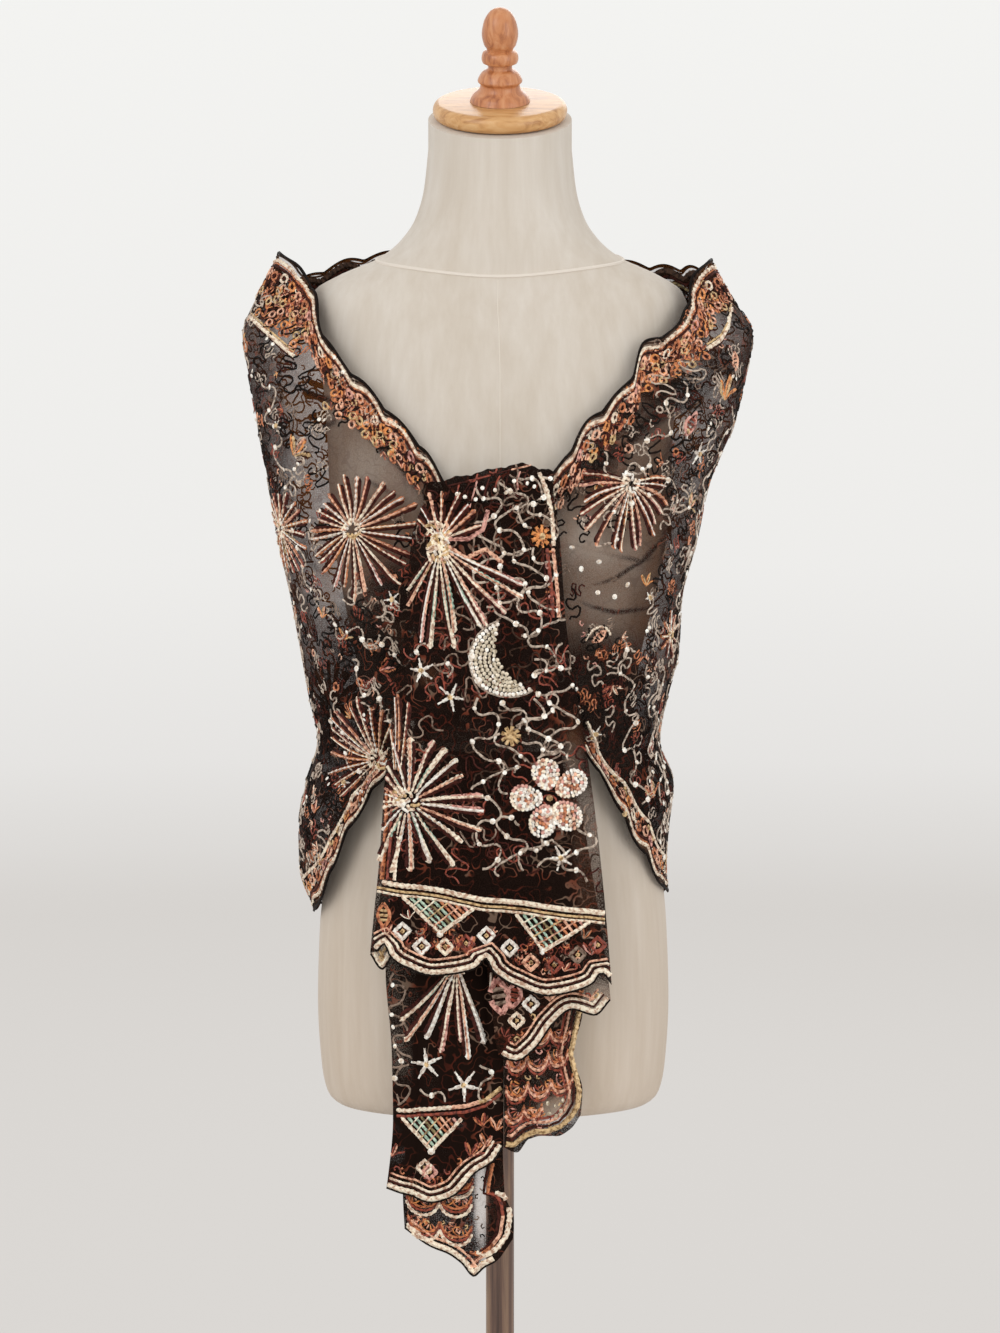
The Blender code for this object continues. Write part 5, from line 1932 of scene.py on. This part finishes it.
# Single threads on the panel: width, colours, length of a stitch, and the line in x and z
PANEL_THREADS = (
    (0.0042, "peach", 0.0050, ((-0.044, 1.160), (-0.028, 1.150), (-0.012, 1.158), (0.002, 1.146))),
    (0.0042, "pink", 0.0050, ((-0.044, 1.166), (-0.026, 1.166), (-0.014, 1.174), (-0.010, 1.190))),
    (0.0016, ("brown", "rust", "brown", "peach"), 0.0030, (
        (-0.043, 1.2100), (-0.015, 1.2168), (0.010, 1.2235), (0.028, 1.2275), (0.040, 1.2240)
    )),
    (0.0052, "cream", 0.0048, (
        (0.0325, 1.221), (0.0385, 1.206), (0.0425, 1.190), (0.0440, 1.176), (0.0445, 1.160)
    )),
    (0.0034, "cream", 0.0040, ((-0.0840, 0.930), (-0.0865, 0.905), (-0.0885, 0.880))),
)
# Stars on the panel: x, z, radius, and turn
PANEL_STARS = ((-0.0655, 1.056, 0.0105, 30), (-0.041, 1.034, 0.0125, 65), (0.0505, 0.899, 0.011, 40))
# The strips at the panel's sides: the line in x and z, and each thread's shift, width and colour
RIGHT_STRIP = ((0.0440, 1.158), (0.0460, 1.140), (0.0480, 1.120), (0.0490, 1.100))
RIGHT_STRIP_THREADS = ((0.0, 0.0046, "peach"), (-0.005, 0.0040, "rust"), (-0.009, 0.0026, "brown"))
LEFT_STRIP = ((-0.0990, 0.955), (-0.1010, 0.910), (-0.1035, 0.880))
LEFT_STRIP_THREADS = ((0.0, 0.0030, "peach"), (0.0045, 0.0042, "copper"), (0.0090, 0.0034, "rust"))
# Where the panel's vines break off: x, z, and radius
PANEL_CLEAR = (
    (-0.050, 1.163, 0.030),
    (-0.048, 1.110, 0.034),
    (-0.002, 1.0610, 0.030),
    (0.012, 1.0440, 0.018),
    (0.0416, 0.9495, 0.034),
    (0.009, 1.001, 0.009),
    (0.034, 1.168, 0.010),
    (-0.077, 0.946, 0.054),
    (-0.041, 1.034, 0.013),
    (-0.0655, 1.056, 0.011),
)
# Vines on the panel: x and z where each starts, heading, length, and phase
PANEL_VINES = (
    (-0.020, 1.212, -90, 0.60, 0.0),
    (-0.003, 1.215, -90, 0.62, 0.25),
    (0.013, 1.219, -90, 0.62, 0.5),
    (0.029, 1.223, -90, 0.60, 0.75),
    (0.046, 1.100, -95, 0.40, 0.6),
    (-0.062, 1.100, -75, 0.09, 2.0),
    (0.062, 0.925, -95, 0.09, 1.0),
)


def sew_end(sewing, front):
    """The panel's end: corded scallops, diamonds, two hatched triangles and a cream line."""
    hem = hem_curve(PANEL, PANEL_HEM)
    rnd = sewing.random
    for _ in range(120):
        x, z = offset(hem, rnd.uniform(0.019, 0.058))[rnd.randrange(2, 87)]
        if z < 0.872 - 0.135 * (x + 0.06) - 0.010:
            colour = rnd.choice(("rust", "brown", "brown", "shade", "copper", "ash"))
            scroll(sewing, front, x, z, rnd.uniform(0.0026, 0.0044), any_turn(rnd), colour)
    cords(sewing, front, hem)
    line = np.array(END_LINE)
    sewing.thread(front, line, 0.0048, "cream", bead=0.0048)
    sewing.thread(front, line - (0, 0.0052), 0.0020, "gold")
    sewing.thread(front, line - (0, 0.0085), 0.0024, "cream", bead=0.0040)
    triangle(sewing, front, (-0.0825, 0.8665), (-0.0215, 0.8565), (-0.0505, 0.8340))
    triangle(sewing, front, (0.0125, 0.8510), (0.0760, 0.8450), (0.0360, 0.8200))
    for x, z, colour in END_DIAMONDS:
        diamond(sewing, front, x, z, 0.0066, colour)
    add_flames(sewing, front, END_FLAMES)
    leaf(sewing, front, -0.0975, 0.8400, 0.020, pi / 2, "copper", "gold")
    for k in range(34):
        x, z = along(offset(hem, 0.0200 + 0.005 * (k % 3)), (k + 0.5) / 34)
        scroll(sewing, front, x, z, 0.0034, any_turn(rnd), rnd.choice(("rust", "copper", "brown", "peach")))
    for k in range(22):
        x, z = along(offset(hem, 0.0340 + 0.006 * (k % 2)), (k + 0.5) / 22)
        if z < 0.874 - 0.13 * (x + 0.06) - 0.012:
            scroll(sewing, front, x, z, 0.0040, any_turn(rnd), rnd.choice(("rust", "brown", "copper")))


# The cream line above the panel's end, as x and z
END_LINE = ((-0.1035, 0.8785), (-0.060, 0.8725), (-0.015, 0.8640), (0.040, 0.8575), (0.0880, 0.8515))
# Blossoms of the panel's end: x, z, size, turn, and colours
END_FLAMES = (
    (-0.0270, 0.8170, 0.017, 85, ("rust", "copper", "pink")),
    (-0.0360, 0.8200, 0.011, 120, ("rust", "copper")),
    (0.0160, 0.8070, 0.010, 80, ("rust", "brown")),
    (0.0540, 0.8030, 0.011, 70, ("peach", "rust")),
    (0.0770, 0.8160, 0.014, 90, ("rust", "pink", "ash")),
    (0.0700, 0.8300, 0.011, 60, ("ash", "copper")),
    (-0.0960, 0.8330, 0.012, 75, ("rust", "peach")),
    (-0.0760, 0.8470, 0.009, 110, ("cream", "rust")),
    (-0.0060, 0.8300, 0.010, 90, ("brown", "rust")),
)
# The diamonds along the panel's hem: x, z, and colour
END_DIAMONDS = (
    (-0.0820, 0.8370, "white"),
    (-0.0660, 0.8235, "white"),
    (-0.0460, 0.8230, "cream"),
    (-0.0285, 0.8265, "rust"),
    (-0.0115, 0.8335, "white"),
    (0.0080, 0.8220, "white"),
    (0.0260, 0.8095, "peach"),
    (0.0455, 0.8085, "rust"),
    (0.0650, 0.8170, "ash"),
    (0.0820, 0.8245, "rust"),
)


def shifted(place, x, z):
    """A mapping with its middle moved."""
    return lambda points: place([(a + x, b + z) for a, b in points])


def sew_leaf(cloth):
    """The panel's second leaf: corded scallops, diamonds and leaves where it shows."""
    sewing = Embroidery("embroidery_front_leaf", 41)
    front = Surface(cloth).front
    cords(sewing, front, hem_curve(LEAF, LEAF_HEM, 0.535, 1.0))
    corner = hem_curve(LEAF, LEAF_HEM, 0.0, 0.13)
    cords(sewing, front, corner, HEM_CORDS[:2])
    sewing.thread(front, offset(corner, 0.0085), 0.0024, "gold")
    for x, z, colour in ((0.0260, 0.7730, "white"), (0.0140, 0.7590, "cream"), (0.0420, 0.7830, "peach")):
        diamond(sewing, front, x, z, 0.0064, colour)
    leaf(sewing, front, 0.0020, 0.7650, 0.030, radians(100), "pink", "ash")
    leaf(sewing, front, 0.0100, 0.7700, 0.022, radians(80), "pink", "rust")
    flame(sewing, shifted(front, 0.004, 0.745), 0.010, radians(70), ("rust", "brown"))
    inner = offset(hem_curve(LEAF, LEAF_HEM, 0.55, 1.0), 0.0185)
    for k in range(8):
        x, z = along(inner, (k + 0.5) / 8)
        scroll(sewing, front, x, z, 0.0036, 1.7 * k, ("gold", "rust", "copper")[k % 3])
    sewing.thread(front, [(-0.0075, 0.800), (-0.0090, 0.770), (-0.0080, 0.740)], 0.0018, "silver")
    return sewing


def sew_tail(cloth):
    """The tail: a fan of rays, two stars, vines, and a corded end with a hatched triangle."""
    sewing = Embroidery("embroidery_tail", 42)
    skin = Surface(cloth)
    front = skin.front
    burst(sewing, skin.patch(-0.036, 0.806), 0.074, 7, COOL, 224, 70, 0.10, 0.0064, 0.08, 262)
    for x, z, turn in ((-0.0625, 0.7190, 25), (-0.0304, 0.7020, 55)):
        star(sewing, skin.patch(x, z), 0.0140, radians(turn), 0.0036)
    for k, (x, z, heading, length) in enumerate(TAIL_VINES):
        line = [p for p in wander((x, z), radians(heading), length, 270 + k, loop=0.050) if p[1] > 0.684]
        vine(sewing, front, line, 0.0020, "silver" if k > 1 else "ash", every=14, clear=TAIL_CLEAR)
    line = np.array(TAIL_LINE)
    sewing.thread(front, line, 0.0040, ("cream", "cream", "peach", "gold"), bead=0.0042)
    sewing.thread(front, line - (0, 0.0050), 0.0026, "rust")
    triangle(sewing, front, (-0.0840, 0.6745), (-0.0320, 0.6735), (-0.0585, 0.6440))
    hem = hem_curve(TAIL, TAIL_HEM)
    cords(sewing, front, hem)
    for share, colour in ((0.22, "cream"), (0.46, "pink")):
        x, z = along(offset(hem, 0.0270), share)
        diamond(sewing, front, x, z, 0.0064, colour)
    add_flames(sewing, front, TAIL_FLAMES)
    for k in range(14):
        x, z = along(offset(hem, 0.0185), (k + 0.5) / 14)
        scroll(sewing, front, x, z, 0.0038, 1.7 * k, ("rust", "copper", "brown")[k % 3])
    return sewing


# Vines on the tail: x and z where each starts, heading, and length; and where they break off
TAIL_VINES = (
    (-0.088, 0.800, -88, 0.22),
    (-0.082, 0.760, -92, 0.16),
    (-0.070, 0.700, -60, 0.12),
    (-0.020, 0.720, -80, 0.12),
)
TAIL_CLEAR = ((-0.0625, 0.7190, 0.013), (-0.0304, 0.7020, 0.013), (-0.036, 0.780, 0.040))
# The line above the tail's end, as x and z
TAIL_LINE = ((-0.0875, 0.6800), (-0.0560, 0.6805), (-0.0300, 0.6840), (-0.0120, 0.6885), (0.0010, 0.6990))
# Blossoms of the tail's end: x, z, size, turn, and colours
TAIL_FLAMES = (
    (-0.0920, 0.640, 0.013, 80, ("rust", "peach")),
    (-0.0250, 0.640, 0.015, 70, ("rust", "copper")),
    (-0.0120, 0.648, 0.014, 75, ("copper", "peach", "rust")),
    (-0.0150, 0.666, 0.013, 95, ("copper", "rust")),
    (-0.0030, 0.662, 0.013, 80, ("copper", "peach")),
)
FAN_COLOURS = (("copper", "peach", "rust"), ("orange", "copper", "peach"), ("pink", "rust", "copper"))


def sew_ruffle(cloth):
    """The ruffle: a corded edge, scalloped bands of fans, and curls between them."""
    sewing = Embroidery("embroidery_tail_ruffle", 43)
    front = Surface(cloth).front
    cords(sewing, front, np.array(RUFFLE_EDGE), RUFFLE_CORDS)
    rnd = sewing.random
    for k, (start, end, count, depth) in enumerate(RUFFLE_BANDS):
        line = scalloped(start, end, count, depth)
        side_by_side(sewing, front, line, RUFFLE_THREADS, bead=0.0040, deep=0.5)
        middle = scalloped(start, end, count, 0.0) + (0, -depth * 0.35)
        for j in range(count * 2):
            x, z = along(middle, (j + 0.5) / (count * 2))
            turn = radians(250 + 40 * sin(1.7 * j + k))
            size = rnd.uniform(0.007, 0.010)
            fan(sewing, front, x, z + 0.004, size, turn, FAN_COLOURS[(j + k) % 3], 5, 1.1)
    for z in np.arange(0.668, 0.795, 0.0082):
        right = 0.058 - 0.010 * abs(sin((z - 0.60) * 30))
        for x in np.arange(0.008 if z < 0.75 else 0.040, right, 0.0085):
            if rnd.random() < 0.62:
                spot = (x + rnd.uniform(-0.002, 0.002), z + rnd.uniform(-0.002, 0.002))
                colour = rnd.choice(("rust", "copper", "peach", "rust", "brown", "pink", "gold"))
                scroll(sewing, front, *spot, rnd.uniform(0.0026, 0.0042), any_turn(rnd), colour)
    for x, z in RUFFLE_SEQUINS:
        sewing.sequin(front, x, z, 0.0020, "pearl")
    return sewing


def sew_tip(cloth):
    """The tail's tip: a corded hem, scalloped tiers of fans, and a loop of cord at the right."""
    sewing = Embroidery("embroidery_tail_tip", 44)
    front = Surface(cloth).front
    hem = hem_curve(TIP, TIP_HEM)
    rnd = sewing.random
    cords(sewing, front, hem[:78], HEM_CORDS[:2] + ((0.0090, 0.0024, "peach", 0.0038),))
    for k, (start, end, count, depth) in enumerate(TIP_TIERS):
        line = scalloped(start, end, count, depth)
        side_by_side(sewing, front, line, TIP_THREADS, bead=0.0042, deep=0.45)
        for j in range(4):
            x, z = along(line, (j + 0.5) / 4) + (0, 0.0125)
            turn = radians(270 + 25 * (1 - 2 * (j % 2)))
            fan(sewing, front, x, z + 0.003, 0.0085, turn, FAN_COLOURS[(j + k) % 2], 5, 1.1)
        for j in range(8):
            x, z = along(line, (j + 0.5) / 8) + (0, rnd.uniform(0.010, 0.016))
            colour = rnd.choice(("copper", "rust", "peach", "pink", "gold"))
            scroll(sewing, front, x, z, 0.0030, any_turn(rnd), colour)
    for j in range(9):
        x, z = offset(hem, 0.0150)[8 + 8 * j]
        scroll(sewing, front, x, z, 0.0034, any_turn(rnd), ("gold", "rust", "copper")[j % 3])
    for k in range(9):
        x, z = -0.016 + 0.004 * sin(2.6 * k), 0.568 + 0.0085 * k
        scroll(sewing, front, x, z, 0.0030, 1.9 * k, ("black", "shade", "ash")[k % 3])
    loop = np.array(TIP_LOOP)
    sewing.thread(front, loop[2:], 0.0052, "cream", bead=0.0048)
    sewing.thread(front, loop - (0.0060, 0.0), 0.0034, ("copper", "rust", "peach", "copper"), bead=0.0040)
    sewing.thread(front, loop - (0.0095, 0.0), 0.0024, "brown")
    return sewing


# The ruffle's outer edge as x and z, its cords as HEM_CORDS has them, and the threads of its bands
RUFFLE_EDGE = (
    (0.0670, 0.7900),
    (0.0675, 0.7650),
    (0.0635, 0.7450),
    (0.0600, 0.7280),
    (0.0640, 0.7120),
    (0.0674, 0.6970),
    (0.0662, 0.6840),
    (0.0605, 0.6735),
    (0.0520, 0.6655),
    (0.0420, 0.6630),
    (0.0300, 0.6625),
    (0.0210, 0.6570),
    (0.0120, 0.6500),
    (0.0050, 0.6510),
)
RUFFLE_CORDS = (
    (0.0, 0.0050, "gold", 0.0046),
    (-0.0045, 0.0024, "brown", 0.0),
    (-0.0080, 0.0030, "peach", 0.0042),
    (-0.0115, 0.0022, "rust", 0.0),
)
RUFFLE_THREADS = ((0.0, 0.0032, "peach"), (-0.0036, 0.0024, "rust"), (0.0034, 0.0022, "copper"))
RUFFLE_SEQUINS = (
    (0.046, 0.684),
    (0.041, 0.678),
    (0.051, 0.679),
    (0.047, 0.675),
    (0.053, 0.688),
    (0.040, 0.687),
)
# The threads of the tip's tiers, and its loop of cord as x and z
TIP_THREADS = ((0.0, 0.0034, "cream"), (0.0040, 0.0024, "rust"), (0.0070, 0.0024, "copper"))
TIP_LOOP = (
    (0.0000, 0.6320),
    (-0.0030, 0.6180),
    (-0.0045, 0.6060),
    (0.0030, 0.6040),
    (0.0070, 0.5970),
    (0.0085, 0.5860),
    (0.0060, 0.5700),
    (-0.0020, 0.5590),
    (-0.0120, 0.5520),
    (-0.0200, 0.5540),
)
# The ruffle's scalloped bands: start, end, number of scallops, and depth
RUFFLE_BANDS = (
    ((0.0400, 0.7900), (0.0600, 0.7700), 2, 0.007),
    ((0.0060, 0.7480), (0.0600, 0.7480), 3, 0.010),
    ((0.0060, 0.7230), (0.0580, 0.7290), 3, 0.011),
    ((0.0050, 0.6980), (0.0620, 0.7080), 3, 0.011),
    ((0.0050, 0.6760), (0.0360, 0.6840), 2, 0.009),
)
# The tip's tiers: start, end, number of scallops, and depth
TIP_TIERS = (
    ((-0.0800, 0.6180), (-0.0230, 0.6120), 2, 0.012),
    ((-0.0800, 0.6000), (-0.0240, 0.5960), 2, 0.012),
    ((-0.0790, 0.5800), (-0.0240, 0.5700), 2, 0.012),
)


def build_stole(net, threads):
    cloths = build_cloths()
    sewn, ground = sew_body(cloths)
    sewings = {name: [sewn[name], ground[name]] for name in sewn}
    sewings["front_panel"] = sew_panel(cloths)
    sewings["front_leaf"] = [sew_leaf(cloths["front_leaf"])]
    sewings["tail"] = [sew_tail(cloths["tail"])]
    sewings["tail_ruffle"] = [sew_ruffle(cloths["tail_ruffle"])]
    sewings["tail_tip"] = [sew_tip(cloths["tail_tip"])]
    for name, cloth in cloths.items():
        sheet = cloth.make(net)
        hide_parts(NODES[name])
        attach(sheet, "root")
        pieces = [sewing.make(threads) for sewing in sewings.get(name, ())]


# ---------------------------------------------------------------------------------------------------------
# The studio
# ---------------------------------------------------------------------------------------------------------


def studio_material():
    """A pale paper backdrop that glows as painted light, enough to even out its lighting; the glow is a
    little dimmer underfoot.
    """
    grey = (0.16, 0.16, 0.158, 1.0)
    finish = {"Base Color": grey, "Roughness": 0.95, "Specular IOR Level": 0.0, "Emission Strength": 0.86}
    made, tree, shader = new_material("Studio", **finish)
    # Painted light: the glow's colour by height, dimmer near the floor and brighter higher up
    stops = ((0.0, "cfcbc7"), (0.03, "d6d3d0"), (0.10, "e1dfdd"), (0.30, "ebeae8"), (1.0, "f2f2f0"))
    colour = colour_ramp(tree, height_share(tree, 0.0, 2.8), *stops)
    tree.links.new(colour, shader.inputs["Emission Color"])
    return made


def build_studio():
    radius, cove, tall = 9.0, 3.0, 9.0
    profile = [(0.001, 0.0), (1.0, 0.0), (3.0, 0.0), (radius - cove, 0.0)]
    profile += [(radius - cove + cove * sin(t), cove - cove * cos(t)) for t in np.linspace(0.1, pi / 2, 14)]
    profile += [(radius, tall)]
    turn = np.linspace(0, 2 * pi, 96, endpoint=False)
    rings = [np.stack([r * np.cos(turn), r * np.sin(turn), np.full(96, z - 0.0005)], -1) for r, z in profile]
    loft("studio", rings, False, studio_material())
    world = bpy.data.worlds.new("Studio light")
    bpy.context.scene.world = world
    world.use_nodes = True
    world.node_tree.nodes["Background"].inputs["Color"].default_value = (1.0, 0.99, 0.98, 1.0)
    world.node_tree.nodes["Background"].inputs["Strength"].default_value = 0.8
    for name, place, size, power in LAMPS:
        lamp = bpy.data.lights.new(name, "AREA")
        lamp.size = size
        lamp.energy = power
        stand = bpy.data.objects.new(name, lamp)
        stand.location = place
        stand.rotation_euler = (Vector((0, 0, 1.1)) - Vector(place)).to_track_quat("-Z", "Y").to_euler()
        bpy.context.scene.collection.objects.link(stand)


LAMPS = (
    ("Key", (-2.4, -3.4, 2.8), 2.6, 44.0),
    ("Fill", (3.0, -2.8, 1.4), 2.6, 30.0),
    ("Rear", (0.6, 3.6, 3.6), 2.6, 40.0),
)


def build_camera():
    camera = bpy.data.cameras.new("Camera")
    camera.sensor_width = 36.0
    distance, eye_z, aim_z, tall = 3.0, 1.25, 1.049, 1.173
    camera.lens = 36.0 * hypot(distance, eye_z - aim_z) / tall
    seen = bpy.data.objects.new("Camera", camera)
    seen.location = (0.0, -distance, eye_z)
    seen.rotation_euler = (Vector((0, 0, aim_z)) - seen.location).to_track_quat("-Z", "Y").to_euler()
    bpy.context.scene.collection.objects.link(seen)
    bpy.context.scene.camera = seen
    bpy.context.scene.view_settings.view_transform = "Standard"


def main():
    build_camera()
    build_studio()
    build_torso(linen_material(), seam_highlight_material())
    build_stand(
        wood_material("Pale wood", "e0b783", "cf9d64", "a9733f", (30.0, 160.0, 160.0), 0.36),
        wood_material("Orange wood", "d79c70", "c37f50", "965632", (140.0, 140.0, 30.0), 0.34),
        wood_material("Dark wood", "a08263", "6b4f40", "33201a", (120.0, 120.0, 6.0), 0.42),
        wood_material("Base wood", "94745a", "64493b", "35221b", (9.0, 120.0, 120.0), 0.40),
    )
    net = net_material()
    threads = {name: thread_material("Thread " + name, *spec) for name, spec in THREADS.items()}
    build_stole(net, threads)


main()
